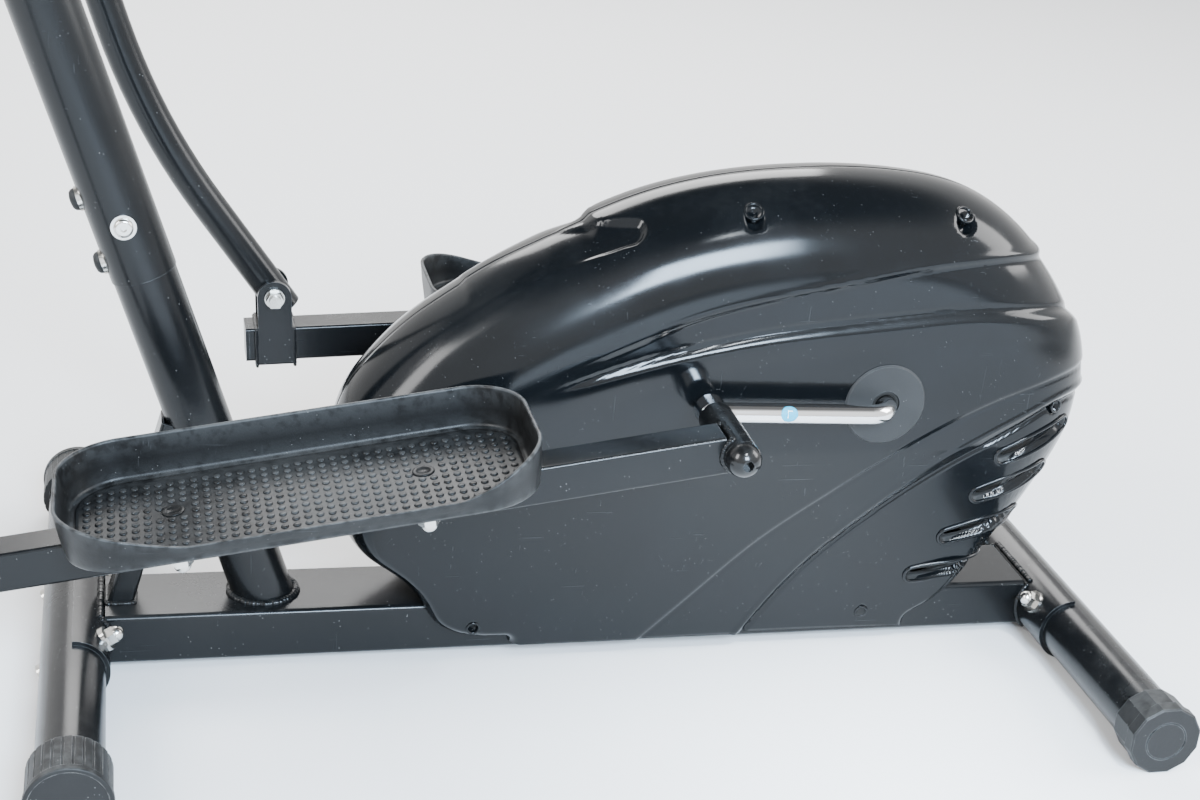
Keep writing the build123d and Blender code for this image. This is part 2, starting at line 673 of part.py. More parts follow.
def drive_pulley():
    wheel = belt_wheel(CRANK_X, CRANK_Z, DRIVE_GROOVE_R, 5, CRANK_BAR_R)
    for end in (-1, 1):
        wheel -= ring(CRANK_X, CRANK_Z, BELT_Y + end * 3, BELT_Y + end * 8, DRIVE_GROOVE_R - 8, 24)
    for i in range(6):
        angle = math.radians(60 * i)
        x, z = CRANK_X + 64 * math.cos(angle), CRANK_Z + 64 * math.sin(angle)
        wheel -= across(x, z, BELT_Y - 9, BELT_Y + 9, 20)
    wheel += ring(CRANK_X, CRANK_Z, BELT_Y - 12, BELT_Y + 14, 16, CRANK_BAR_R)
    return wheel


def drive_belt():
    """Closed belt round both belt wheels."""
    outlines = []
    for extra in (3.2, 0.3):
        big = Pos(CRANK_X, CRANK_Z) * Circle(DRIVE_GROOVE_R + extra)
        small = Pos(FLY_X, FLY_Z) * Circle(FLY_GROOVE_R + extra)
        outlines.append(make_hull([big.edge(), small.edge()]))
    band = outlines[0] - outlines[1]
    return pushed_left(Plane.XZ.offset(-(BELT_Y + 5)) * band, 10)


def bottom_bracket():
    shell = ring(CRANK_X, CRANK_Z, -38, 2, 22, 17)
    post = block(CRANK_X - 20, CRANK_X + 20, -33, -3, BEAM_TOP, CRANK_Z - 10)
    post -= block(CRANK_X - 17.5, CRANK_X + 17.5, -30.5, -5.5, BEAM_TOP, CRANK_Z - 10)
    post -= across(CRANK_X, CRANK_Z, -40, 10, 22)
    return shell + post


def crank_bearings():
    pieces = []
    for y in (-38, -8):
        pieces.append(ring(CRANK_X, CRANK_Z, y, y + 10, 17, CRANK_BAR_R + FIT))
    return group(*pieces)


def flywheel():
    wheel = ring(FLY_X, FLY_Z, -24, -4, FLY_R, 13)
    for y_a, y_b in ((-25, -20), (-8, -3)):
        wheel -= ring(FLY_X, FLY_Z, y_a, y_b, FLY_R - 22, 24)
    wheel += ring(FLY_X, FLY_Z, -26, BELT_Y - 7, 16, 13)
    return wheel


def flywheel_pulley():
    return belt_wheel(FLY_X, FLY_Z, FLY_GROOVE_R, 3, 13)


def flywheel_bearings():
    pieces = []
    for y in (-26, 12):
        pieces.append(ring(FLY_X, FLY_Z, y, y + 8, 13, 5 + FIT))
    return group(*pieces)


def flywheel_axle():
    pieces = [across(FLY_X, FLY_Z, -46, 46, 5)]
    for side in (LEFT, RIGHT):
        nut = hexagon(FLY_X, FLY_Z, side * (PLATE_Y + 2), side * (PLATE_Y + 9), 15)
        pieces.append(nut - across(FLY_X, FLY_Z, side * 30, side * 46, 5))
        collar = ring(FLY_X, FLY_Z, side * 27, side * (PLATE_Y - 2), 8, 5)
        pieces.append(collar)
    return group(*pieces)


def flywheel_bracket():
    """Two plates welded on the beam that carry the flywheel's axle and the brake's pivot."""
    shape = [(300, BEAM_TOP), (455, BEAM_TOP), (455, 84), (412, 224), (372, 224), (304, 146), (268, 146),
             (268, 100)]
    pivot_x, pivot_z = shoe_pivot()
    pieces = []
    for side in (LEFT, RIGHT):
        plate = slab(shape, side * (PLATE_Y - 2), side * (PLATE_Y + 2))
        plate -= across(FLY_X, FLY_Z, side * 30, side * 36, 5)
        plate -= across(pivot_x, pivot_z, side * 30, side * 36, 4)
        pieces.append(plate)
    pieces.append(across(pivot_x, pivot_z, -38, 38, 4))
    return group(*pieces)


def shoe_point(radius, angle):
    turn = math.radians(angle)
    return FLY_X + radius * math.cos(turn), FLY_Z + radius * math.sin(turn)


def shoe_pivot():
    return shoe_point(SHOE_R + 7, SHOE_PIVOT_ANGLE)


def arc_band(inner, outer, angle_a, angle_b, y_a, y_b):
    """Part of a ring round the flywheel's axis."""
    whole = ring(FLY_X, FLY_Z, y_a, y_b, outer, inner)
    corners = [(FLY_X, FLY_Z)]
    for i in range(5):
        corners.append(shoe_point(outer * 1.4, angle_a + (angle_b - angle_a) * i / 4))
    return whole & slab(corners, y_a, y_b)


def brake_shoe():
    band = arc_band(SHOE_R + 4, SHOE_R + 8, SHOE_TOP_ANGLE, SHOE_PIVOT_ANGLE, -28, 0)
    for y_a, y_b in ((-28, -25), (-3, 0)):
        band += arc_band(SHOE_R - 6, SHOE_R + 8, SHOE_TOP_ANGLE, SHOE_PIVOT_ANGLE, y_a, y_b)
    x, z = shoe_pivot()
    band += across(x, z, -29, 9, 8)
    top_x, top_z = shoe_point(SHOE_R + 6, SHOE_TOP_ANGLE + 1.5)
    band += across(top_x, top_z, -28, 13, 5)
    band += block(x, SPRING_X + 7, -20, -8, SPRING_TOP + 1, SPRING_TOP + 6)
    return band - across(x, z, -30, 30, 4 + FIT)


def brake_magnets():
    pieces = []
    step = 13
    for i in range(4):
        start = SHOE_TOP_ANGLE + 6 + i * step
        pieces.append(arc_band(SHOE_R, SHOE_R + 4, start, start + 9, -25, -3))
    return group(*pieces)


def brake_spring():
    """Return spring between the beam and the shoe's pivot end."""
    coil_r, wire_r, turns = 6.0, 0.9, 8
    height = SPRING_TOP - BEAM_TOP - 4
    path = Helix(pitch=height / turns, height=height, radius=coil_r)
    start = path @ 0
    section = Plane(origin=start, z_dir=path % 0) * Circle(wire_r)
    coil = sweep(section, path, is_frenet=True)
    return Pos(SPRING_X, -14, BEAM_TOP + 2) * coil


# ---------------------------------------------------------------- housing

def drawn_in(points, inset):
    """Outline points moved towards the housing's middle by about an inset."""
    moved = []
    for point in points:
        scaled = []
        for value, middle, reach in zip(point, HOUSING_MIDDLE, HOUSING_REACH):
            scaled.append(middle + (value - middle) * (1 - inset / reach))
        moved.append(tuple(scaled))
    return moved


def housing_outline(inset):
    top = Spline(*drawn_in(HOUSING_TOP, inset))
    rear = Spline(top @ 1, *drawn_in(HOUSING_REAR, inset), tangents=[top % 1, (-0.7, -0.7)])
    front_points = drawn_in(HOUSING_FRONT, inset)
    base = Line(rear @ 1, front_points[0])
    front = Spline(*front_points, top @ 0)
    return make_face([top, rear, base, front])


def housing_body(side, inset):
    """One half of the housing as a solid, drawn in by an inset."""
    reach = HOUSING_HALF - inset
    face = Plane.XZ * housing_outline(inset)
    solid = pushed_left(face, reach)
    outer_face = solid.faces().sort_by(Axis.Y)[0]
    solid = fillet(outer_face.edges(), HOUSING_ROUND - inset)
    if side == RIGHT:
        solid = mirror(solid, Plane.XZ)
    return solid


def draft_cut(side, inset):
    """Wedge outside the housing's lower side, which leans in towards the beam."""
    low = HOUSING_FOOT_HALF - inset
    top = HOUSING_HALF - inset
    corners = [(side * low, 0), (side * top, HOUSING_FULL_Z), (side * 120, HOUSING_FULL_Z), (side * 120, 0)]
    wedge = make_face(Plane.YZ * Polyline(*corners, close=True))
    normal = wedge.faces()[0].normal_at()
    return extrude(wedge, 1000 if normal.X > 0 else -1000)


def housing(side):
    outer = housing_body(side, 0) - draft_cut(side, 0)
    inner = housing_body(side, HOUSING_WALL) - draft_cut(side, HOUSING_WALL)
    shell = outer - inner
    shell -= block(150, 800, -BEAM_HALF - 0.5, BEAM_HALF + 0.5, 0, BEAM_TOP + 0.5)
    shell -= block(300, 735, -HOUSING_FOOT_HALF + 3, HOUSING_FOOT_HALF - 3, 0, HOUSING_BASE_Z + 5)
    shell -= across(CRANK_X, CRANK_Z, side * 40, side * 90, 14)
    for x, z, head_y, foot_y in HOUSING_SCREWS:
        boss = across(x, z, side * foot_y, side * HOUSING_HALF, SCREW_BOSS_R) & outer
        shell += boss
        shell -= across(x, z, 0, side * HOUSING_HALF, SCREW_R + 0.1)
        if side == LEFT:
            shell -= across(x, z, side * head_y, side * (HOUSING_HALF + 5), SCREW_HEAD_R + 0.5)
    return shell.solids().sort_by(SortBy.VOLUME)[-1]


def housing_screws():
    pieces = []
    for x, z, head_y, foot_y in HOUSING_SCREWS:
        end_y = foot_y - 0.2 if foot_y > BEAM_HALF else -16
        screw = across(x, z, -head_y, -end_y, SCREW_R)
        screw += across(x, z, -head_y - 3, -head_y, SCREW_HEAD_R)
        pieces.append(screw)
    return group(*pieces)


def crank_covers():
    """Round discs that close the housing round the crank."""
    pieces = []
    for side in (LEFT, RIGHT):
        disc = across(CRANK_X, CRANK_Z, side * HOUSING_HALF, side * (HOUSING_HALF + 2.5), CRANK_COVER_R)
        rim = disc.edges().filter_by(GeomType.CIRCLE).sort_by(Axis.Y)[-1 if side > 0 else 0]
        disc = chamfer(rim, 1.5)
        pieces.append(disc - across(CRANK_X, CRANK_Z, side * 60, side * 90, 12))
    return group(*pieces)


# ---------------------------------------------------------------- top of the machine

def fixed_handlebar():
    x_bar = upright_x(BAR_Z, POST_R / math.cos(math.radians(UPRIGHT_LEAN)) + BAR_R + 3)
    points = [(x_bar + 205, -BAR_HALF, BAR_Z + 34), (x_bar, -BAR_HALF, BAR_Z),
              (x_bar, BAR_HALF, BAR_Z), (x_bar + 205, BAR_HALF, BAR_Z + 34)]
    return bent_tube(points, 48, BAR_R, BAR_R - 2)


def fixed_grips():
    x_bar = upright_x(BAR_Z, POST_R / math.cos(math.radians(UPRIGHT_LEAN)) + BAR_R + 3)
    pieces = []
    for side in (LEFT, RIGHT):
        start = Vector(x_bar + 68, side * BAR_HALF, BAR_Z + 68 * 34 / 205)
        end = Vector(x_bar + 205, side * BAR_HALF, BAR_Z + 34)
        back = (start - end).normalized()
        grip = rod(start, end - back * 8, 17)
        grip = fillet(grip.edges().filter_by(GeomType.CIRCLE), 4)
        pieces.append(grip - rod(start + back * 5, end, BAR_R))
    return group(*pieces)


def handlebar_mount():
    """Clamp that holds the fixed handlebar on the rear of the post."""
    x_bar = upright_x(BAR_Z, POST_R / math.cos(math.radians(UPRIGHT_LEAN)) + BAR_R + 3)
    body = block(x_bar - 24, x_bar + BAR_R + 6, -22, 22, BAR_Z - 19, BAR_Z + 19)
    body = fillet(body.edges().filter_by(Axis.Y), 6)
    body -= across(x_bar, BAR_Z, -30, 30, BAR_R)
    body -= rod(on_post(500), on_post(POST_LENGTH), POST_R)
    return body.solids().sort_by(Axis.X)[-1]


def console_plane(depth=0.0):
    """Plane of the console: x across, y up the face, z out towards the user."""
    tilt = math.radians(CONSOLE_TILT)
    normal = Vector(math.cos(tilt), 0, math.sin(tilt))
    centre = Vector(upright_x(POST_TOP_Z) + CONSOLE_SHIFT, 0, POST_TOP_Z + CONSOLE_RISE)
    return Plane(origin=centre + normal * depth, x_dir=(0, 1, 0), z_dir=normal)


def console_slab(width, height, corner, low, high, across_by=0.0, up_by=0.0):
    face = console_plane(low) * Pos(across_by, up_by) * RectangleRounded(width, height, corner)
    return extrude(face, high - low)


def console_disc(across_by, up_by, low, high, radius):
    return extrude(console_plane(low) * Pos(across_by, up_by) * Circle(radius), high - low)


def console_back():
    shell = console_slab(176, 148, 26, -24, 0)
    rear = shell.faces().sort_by(lambda f: (f.center() - console_plane(-24).origin).length)[0]
    shell = fillet(rear.edges(), 10)
    shell -= console_slab(171, 143, 24, -21, 1)
    return shell - console_disc(0, -18, -30, 0, 8)


def console_front():
    face = console_slab(176, 148, 26, 0, 12)
    top = face.faces().sort_by(lambda f: (f.center() - console_plane(12).origin).length)[0]
    face = fillet(top.edges(), 5)
    face -= console_slab(171, 143, 24, -1, 9)
    face -= console_slab(112, 58, 8, 5, 20, up_by=18)
    for x in BUTTONS.values():
        face -= console_disc(x, BUTTON_UP, 5, 20, BUTTON_R + 0.35)
    return face


def console_lens():
    lens = console_slab(112, 58, 8, 9.5, 11.5, up_by=18)
    return lens + console_slab(118, 64, 8, 7, 9, up_by=18) + console_slab(112, 58, 8, 8.5, 10, up_by=18)


def console_board():
    return console_slab(140, 118, 4, -2, -0.4) + console_disc(0, -45, -8, -2, 12)


def console_button(x):
    cap = console_disc(x, BUTTON_UP, 8, 14.5, BUTTON_R)
    tip = cap.faces().sort_by(lambda f: (f.center() - console_plane(40).origin).length)[0]
    cap = fillet(tip.edges(), 1.2)
    return cap + console_disc(x, BUTTON_UP, 4.5, 8, BUTTON_R + 2)


def console_bracket():
    """Plate under the console with a spigot that fits the post's top end."""
    plate = console_slab(70, 84, 8, -27.5, -24, up_by=-18)
    spigot = rod(on_post(POST_LENGTH - 60), on_post(POST_LENGTH + 70), POST_R - POST_WALL)
    limit = extrude(console_plane(-27.5) * Rectangle(300, 300), 200)
    spigot -= limit
    spigot -= rod(on_post(POST_LENGTH - 70), on_post(POST_LENGTH + 80), POST_R - POST_WALL - 2.5)
    return plate - console_disc(0, -18, -40, 0, 8) + spigot


def knob_frame(depth):
    """Plane on the rear of the post, facing the user, at the tension knob."""
    lean = math.radians(UPRIGHT_LEAN)
    normal = Vector(math.cos(lean), 0, math.sin(lean))
    along = (KNOB_Z - JOINT_Z) / math.cos(lean)
    return Plane(origin=Vector(*on_post(along, depth)), x_dir=(0, 1, 0), z_dir=normal)


def tension_knob():
    low = POST_R + 9.4
    body = extrude(knob_frame(low) * Circle(21), 19, taper=4)
    for i in range(12):
        angle = math.radians(30 * i)
        cut = Pos(22.5 * math.cos(angle), 22.5 * math.sin(angle)) * Circle(4)
        body -= extrude(knob_frame(low + 3) * cut, 20)
    pointer = extrude(knob_frame(low + 19) * Pos(0, 11) * RectangleRounded(3, 12, 1.2), 0.8)
    shaft = extrude(knob_frame(low - 12) * Circle(3), 13)
    return body + pointer + shaft


def tension_base():
    base = extrude(knob_frame(POST_R - 6) * Circle(26), 15)
    base -= rod(on_post(400), on_post(900), POST_R)
    base = base.solids().sort_by(Axis.X)[-1]
    neck = extrude(knob_frame(POST_R - 8) * Circle(6), 10)
    return base + neck - extrude(knob_frame(POST_R - 10) * Circle(3 + FIT), 30)


def cable_route(offset, top_z, low_z, y_in_housing, end):
    """Centre line of a cable inside the post, the beam and the housing."""
    return [(upright_x(top_z, offset), 0, top_z),
            (upright_x(690, offset), 0, 690),
            (upright_x(540, offset * 0.55), 0, 540),
            (upright_x(low_z, offset * 0.55), 0, low_z),
            (300, y_in_housing, low_z),
            end]


def inner_cables():
    """Tension cable and speed sensor wire, both held inside all the way, and the sensor itself."""
    cable = bent_bar(cable_route(18, 900, 31, 8, (300, 8, 246)), [400, 400, 24, 22], 2)
    wire = bent_bar(cable_route(-18, 1080, 22, 16, (300, 16, 120)), [400, 400, 22, 20], 1.5)
    sensor = block(292, 308, 12, 20, 120, 138)
    return group(cable, wire, sensor)


# ---------------------------------------------------------------- all nodes

def build():
    nodes = {
        "main_beam": main_beam(),
        "saddles": saddles(),
        "stabiliser_tubes": stabilisers(),
        "stabiliser_fasteners": stabiliser_fasteners(),
        "upright_stub": upright_stub(),
        "upright_brace": upright_brace(),
        "upright_post": upright_post(),
        "post_fasteners": post_fasteners(),
        "swing_axle": swing_axle(),
        "crank": crank(),
        "drive_pulley": drive_pulley(),
        "drive_belt": drive_belt(),
        "bottom_bracket": bottom_bracket(),
        "crank_bearings": crank_bearings(),
        "flywheel": flywheel(),
        "flywheel_pulley": flywheel_pulley(),
        "flywheel_bearings": flywheel_bearings(),
        "flywheel_axle": flywheel_axle(),
        "flywheel_bracket": flywheel_bracket(),
        "brake_shoe": brake_shoe(),
        "brake_magnets": brake_magnets(),
        "brake_spring": brake_spring(),
        "housing_screws": housing_screws(),
        "crank_covers": crank_covers(),
        "fixed_handlebar": fixed_handlebar(),
        "fixed_grips": fixed_grips(),
        "handlebar_mount": handlebar_mount(),
        "console_bracket": console_bracket(),
        "console_back": console_back(),
        "console_front": console_front(),
        "console_lens": console_lens(),
        "console_board": console_board(),
        "tension_knob": tension_knob(),
        "tension_base": tension_base(),
        "inner_cables": inner_cables(),
    }
    for name, x in BUTTONS.items():
        nodes[name] = console_button(x)
    sided = {"housing": housing, "transport_wheel": transport_wheel, "level_cap": level_cap,
             "swing_link": swing_link, "swing_bushes": swing_bushes, "handlebar": handlebar,
             "hand_grip": hand_grip, "pedal_arm": pedal_arm,
             "pedal_pin": pedal_pin, "foot_tray": foot_tray, "pedal_fasteners": pedal_fasteners}
    for name, make in sided.items():
        nodes[name + "_left"] = make(LEFT)
        nodes[name + "_right"] = make(RIGHT)
    return nodes


def middle_x(nodes):
    """x of the middle of the whole machine."""
    boxes = [shape.bounding_box() for shape in nodes.values()]
    return (min(b.min.X for b in boxes) + max(b.max.X for b in boxes)) / 2


NODES = build()
MIDDLE_X = middle_x(NODES)
os.makedirs("parts", exist_ok=True)
for node_name, node_shape in NODES.items():
    export_step(Pos(-MIDDLE_X, 0, 0) * node_shape, f"parts/{node_name}.step")
print("nodes", len(NODES), "middle x", round(MIDDLE_X, 3))
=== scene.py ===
import json
import math

import bpy
import numpy as np
from mathutils import Matrix, Vector


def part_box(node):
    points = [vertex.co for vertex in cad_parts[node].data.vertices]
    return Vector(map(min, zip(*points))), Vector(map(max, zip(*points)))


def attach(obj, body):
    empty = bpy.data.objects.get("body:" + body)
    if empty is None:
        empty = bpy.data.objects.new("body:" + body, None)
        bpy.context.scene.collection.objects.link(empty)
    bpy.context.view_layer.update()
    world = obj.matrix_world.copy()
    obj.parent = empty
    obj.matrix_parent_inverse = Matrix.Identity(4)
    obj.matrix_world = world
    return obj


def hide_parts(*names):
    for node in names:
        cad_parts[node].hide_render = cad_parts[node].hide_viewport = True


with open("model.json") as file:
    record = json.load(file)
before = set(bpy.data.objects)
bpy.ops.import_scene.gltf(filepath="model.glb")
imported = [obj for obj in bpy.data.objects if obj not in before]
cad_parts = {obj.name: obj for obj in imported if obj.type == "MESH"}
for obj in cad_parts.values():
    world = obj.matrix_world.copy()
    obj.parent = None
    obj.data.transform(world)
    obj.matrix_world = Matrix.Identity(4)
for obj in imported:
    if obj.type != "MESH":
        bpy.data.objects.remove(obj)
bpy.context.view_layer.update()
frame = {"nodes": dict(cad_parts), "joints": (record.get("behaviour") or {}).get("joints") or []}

# The looks of an elliptical trainer round its fixed CAD frame. Shapes below are worked out in
# millimetres from the front stabiliser's axis: x to the rear, y to the right, z up from the floor.
# row() takes them to the frame's metres.

MM = 0.001
SIDES = {"left": -1, "right": 1}
CHUNK = 8000
CURVE_STEPS = 2000
TUBE_SIDES = 12
JOINTS = {joint["name"]: joint for joint in frame["joints"]}


def middle(node):
    low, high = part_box(node)
    return (low + high) / 2


FRONT_AXIS_X = middle("transport_wheel_left").x


def row(points):
    """Millimetres from the front stabiliser's axis, as metres in the frame."""
    out = np.array(points, float).reshape(-1, 3) * MM
    out[:, 0] += FRONT_AXIS_X
    return out


def local(point):
    """A point of the frame, in millimetres from the front stabiliser's axis."""
    return np.array([(point[0] - FRONT_AXIS_X) / MM, point[1] / MM, point[2] / MM])


def joint_place(name):
    return local(JOINTS[name]["pos_m"])


CRANK = joint_place("crank_turn")


# ---- numbers and curves

def ease(value, low, high):
    """0 below low, 1 above high, and smooth between them."""
    part = np.clip((np.asarray(value, float) - low) / (high - low), 0, 1)
    return part * part * (3 - 2 * part)


def spline(points, count, closed=False):
    """Evenly spaced points on a smooth curve through the given ones."""
    p = np.array(points, float)
    if closed:
        p = np.vstack([p[-3:], p, p[:4]])
    step = np.linalg.norm(np.diff(p, axis=0), axis=1)
    knots = np.concatenate([[0], np.cumsum(step)])
    n = len(p)
    system = np.zeros((n, n))
    right = np.zeros((n, p.shape[1]))
    system[0, 0] = system[-1, -1] = 1
    for i in range(1, n - 1):
        system[i, i - 1:i + 2] = step[i - 1], 2 * (step[i - 1] + step[i]), step[i]
        right[i] = 6 * ((p[i + 1] - p[i]) / step[i] - (p[i] - p[i - 1]) / step[i - 1])
    bend = np.linalg.solve(system, right)
    start, end = (knots[3], knots[-4]) if closed else (0, knots[-1])
    at = np.linspace(start, end, max(20 * count, CURVE_STEPS))
    i = np.clip(np.searchsorted(knots, at, "right") - 1, 0, n - 2)
    h = step[i][:, None]
    a = ((knots[i + 1] - at) / step[i])[:, None]
    b = 1 - a
    fine = a * p[i] + b * p[i + 1] + ((a**3 - a) * bend[i] + (b**3 - b) * bend[i + 1]) * h * h / 6
    run = np.concatenate([[0], np.cumsum(np.linalg.norm(np.diff(fine, axis=0), axis=1))])
    want = np.linspace(0, run[-1], count + 1)[:-1] if closed else np.linspace(0, run[-1], count)
    return np.stack([np.interp(want, run, fine[:, k]) for k in range(p.shape[1])], axis=1)


def unit(rows):
    """Rows of vectors, each at length one."""
    return rows / np.linalg.norm(rows, axis=-1, keepdims=True)


def nearest(points, curve):
    """For each point, which point of the curve is nearest and how far it is."""
    pick = np.empty(len(points), int)
    away = np.empty(len(points))
    for first in range(0, len(points), CHUNK):
        chunk = slice(first, first + CHUNK)
        squares = ((points[chunk, None, :] - curve[None, :, :])**2).sum(2)
        pick[chunk] = squares.argmin(1)
        away[chunk] = np.sqrt(squares.min(1))
    return pick, away


def signed_distance(curve, x, z):
    """Distance from a curve in the XZ plane, positive to its left."""
    flat = np.stack([x.ravel(), z.ravel()], axis=1)
    near, _ = nearest(flat, curve)
    gap = flat - curve[near]
    way = unit(np.gradient(curve, axis=0))[near]
    return (way[:, 0] * gap[:, 1] - way[:, 1] * gap[:, 0]).reshape(x.shape)


def segment_distance(x, z, a, b):
    """Distance from a straight segment in the XZ plane."""
    dx, dz = b[0] - a[0], b[1] - a[1]
    part = np.clip(((x - a[0]) * dx + (z - a[1]) * dz) / (dx * dx + dz * dz), 0, 1)
    return np.hypot(x - a[0] - part * dx, z - a[1] - part * dz)


# ---- meshes

def piece(name, points, faces, body, slot, material=None):
    """New mesh piece from points in millimetres, riding on a body, in its slot's material or another."""
    mesh = bpy.data.meshes.new(name)
    mesh.from_pydata([tuple(p) for p in row(points)], [], faces)
    mesh.validate()
    mesh.update()
    made = bpy.data.objects.new(name, mesh)
    bpy.context.scene.collection.objects.link(made)
    mesh.materials.append(material or MATERIALS[slot])
    mesh.polygons.foreach_set("use_smooth", [True] * len(mesh.polygons))
    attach(made, body)
    return made


def worn(made, values):
    """Stores how worn each point is, for the materials to read."""
    attribute = made.data.attributes.new("worn", "FLOAT", "POINT")
    attribute.data.foreach_set("value", np.asarray(values, np.float32))


def grid_faces(rows, columns, wrap=False, first=0, flip=False):
    """Quads of a grid of points stored row by row."""
    faces = []
    last = columns if wrap else columns - 1
    for i in range(rows - 1):
        for j in range(last):
            k = (j + 1) % columns
            quad = (first + i * columns + j, first + i * columns + k,
                    first + (i + 1) * columns + k, first + (i + 1) * columns + j)
            faces.append(quad[::-1] if flip else quad)
    return faces


def axes_for(direction):
    """Two unit vectors square to a direction."""
    way = np.array(direction, float)
    way /= np.linalg.norm(way)
    helper = np.array([0, 0, 1.0]) if abs(way[2]) < 0.9 else np.array([1.0, 0, 0])
    side = np.cross(way, helper)
    side /= np.linalg.norm(side)
    return way, side, np.cross(way, side)


def circle(centre, a_way, b_way, count):
    """Evenly spaced points round an ellipse with two half axes."""
    turn = np.linspace(0, 2 * math.pi, count, endpoint=False)
    return np.array(centre) + np.outer(np.cos(turn), a_way) + np.outer(np.sin(turn), b_way)


def cap(number, count):
    """One face over a whole row of points."""
    return tuple(range(number * count, (number + 1) * count))


def lathe(profile, origin, direction, count):
    """Closed body turned round an axis. The profile is (radius, height) pairs from end to end."""
    way, side, up = axes_for(direction)
    points = [circle(np.array(origin) + way * height, radius * side, radius * up, count)
              for radius, height in profile]
    faces = grid_faces(len(profile), count, wrap=True)
    if profile[0] != profile[-1]:
        faces += [cap(0, count)[::-1], cap(len(profile) - 1, count)]
    return np.vstack(points), faces


def turned(name, profile, origin, direction, count, body, slot, material=None):
    """New piece turned round an axis."""
    return piece(name, *lathe(profile, origin, direction, count), body, slot, material)


def join(parts):
    """Several (points, faces) pairs as one."""
    points, faces, first = [], [], 0
    for some_points, some_faces in parts:
        points.append(np.asarray(some_points, float))
        faces += [tuple(first + i for i in face) for face in some_faces]
        first += len(some_points)
    return np.vstack(points), faces


def swept(path, radii, closed):
    """Tube along a path with a radius at each point."""
    path = np.array(path, float)
    if closed:
        along = unit(np.roll(path, -1, axis=0) - np.roll(path, 1, axis=0))
    else:
        along = unit(np.gradient(path, axis=0))
    normal = axes_for(along[0])[1]
    rings = []
    for point, way, radius in zip(path, along, radii):
        normal = unit(normal - way * np.dot(normal, way))
        rings.append(circle(point, radius * normal, radius * np.cross(way, normal), TUBE_SIDES))
    faces = grid_faces(len(path), TUBE_SIDES, wrap=True, flip=True)
    end = cap(len(path) - 1, TUBE_SIDES)
    if closed:
        for j in range(TUBE_SIDES):
            k = (j + 1) % TUBE_SIDES
            faces.append((end[j], j, k, end[k]))
    else:
        faces += [cap(0, TUBE_SIDES), end[::-1]]
    return np.vstack(rings), faces


# ---- materials

SCRATCH_WAYS = (((14, 900, 900), (0.3, 0.5, 0.9)), ((900, 900, 12), (-0.5, 0.8, 0.4)))
DUST_COLOUR = (0.17, 0.17, 0.165, 1)
SPECK_COLOUR = (0.42, 0.42, 0.41, 1)
GRAIN_RELIEF = 0.0004
COAT_ROUGHNESS = 0.12


def add(tree, kind, settings=None, **inputs):
    """New node with its settings and its inputs, by socket name with _ for a space."""
    made = tree.nodes.new(kind)
    for key, value in (settings or {}).items():
        setattr(made, key, value)
    for key, value in inputs.items():
        feed(tree, made.inputs[key.replace("_", " ")], value)
    return made


def feed(tree, socket, value):
    if isinstance(value, bpy.types.NodeSocket):
        tree.links.new(value, socket)
    else:
        socket.default_value = value


def calc(tree, operation, *values):
    """One maths operation carried through two or more values."""
    result = values[0]
    for value in values[1:]:
        made = tree.nodes.new("ShaderNodeMath")
        made.operation = operation
        feed(tree, made.inputs[0], result)
        feed(tree, made.inputs[1], value)
        result = made.outputs[0]
    return result


def fit(tree, value, low, high, start=0.0, end=1.0):
    """Smoothly maps low..high to start..end."""
    made = add(tree, "ShaderNodeMapRange", {"interpolation_type": "SMOOTHSTEP"}, Value=value)
    made.inputs[1].default_value = low
    made.inputs[2].default_value = high
    made.inputs[3].default_value = start
    made.inputs[4].default_value = end
    return made.outputs[0]


def blend_colour(tree, factor, a, b):
    made = add(tree, "ShaderNodeMix", {"data_type": "RGBA"})
    feed(tree, made.inputs[0], factor)
    feed(tree, made.inputs[6], a)
    feed(tree, made.inputs[7], b)
    return made.outputs[2]


def noise(tree, place, scale, detail=3.0, distortion=0.0):
    made = add(tree, "ShaderNodeTexNoise", None, Vector=place, Scale=scale, Detail=detail,
               Distortion=distortion)
    return made.outputs["Fac"]


def stretched(tree, place, scale, turn):
    made = add(tree, "ShaderNodeMapping", None, Vector=place, Scale=scale, Rotation=turn)
    return made.outputs[0]


def grey(value, blue=0.0):
    return (value * (1 - blue), value, value * (1 + blue), 1.0)


def scratch_marks(tree, place, amount):
    """Fine lines in two ways, where a larger pattern lets them show."""
    lines = []
    for scale, turn in SCRATCH_WAYS:
        threads = noise(tree, stretched(tree, place, scale, turn), 1.0, 0.0)
        lines.append(fit(tree, threads, 0.79, 0.85))
    patch = fit(tree, noise(tree, place, 19.0, 2.0), 0.5, 0.66)
    return calc(tree, "MULTIPLY", calc(tree, "MAXIMUM", *lines), patch, amount)


def speck_mask(tree, place, amount):
    """Small round specks in some cells of a pattern."""
    cells = add(tree, "ShaderNodeTexVoronoi", None, Vector=place, Scale=260.0)
    round_spot = fit(tree, cells.outputs["Distance"], 0.07, 0.13, 1.0, 0.0)
    chosen = fit(tree, noise(tree, place, 90.0, 0.0), 0.6, 0.66)
    return calc(tree, "MULTIPLY", round_spot, chosen, amount)


def dust_film(tree, place, cloud, normal, amount):
    """Dust where the surface faces up."""
    facing = add(tree, "ShaderNodeSeparateXYZ", None, Vector=normal).outputs[2]
    fine = calc(tree, "MULTIPLY", noise(tree, place, 160.0, 2.0), 0.5)
    settled = fit(tree, calc(tree, "ADD", cloud, fine), 0.62, 0.95)
    return calc(tree, "MULTIPLY", fit(tree, facing, 0.2, 0.95), settled, amount)


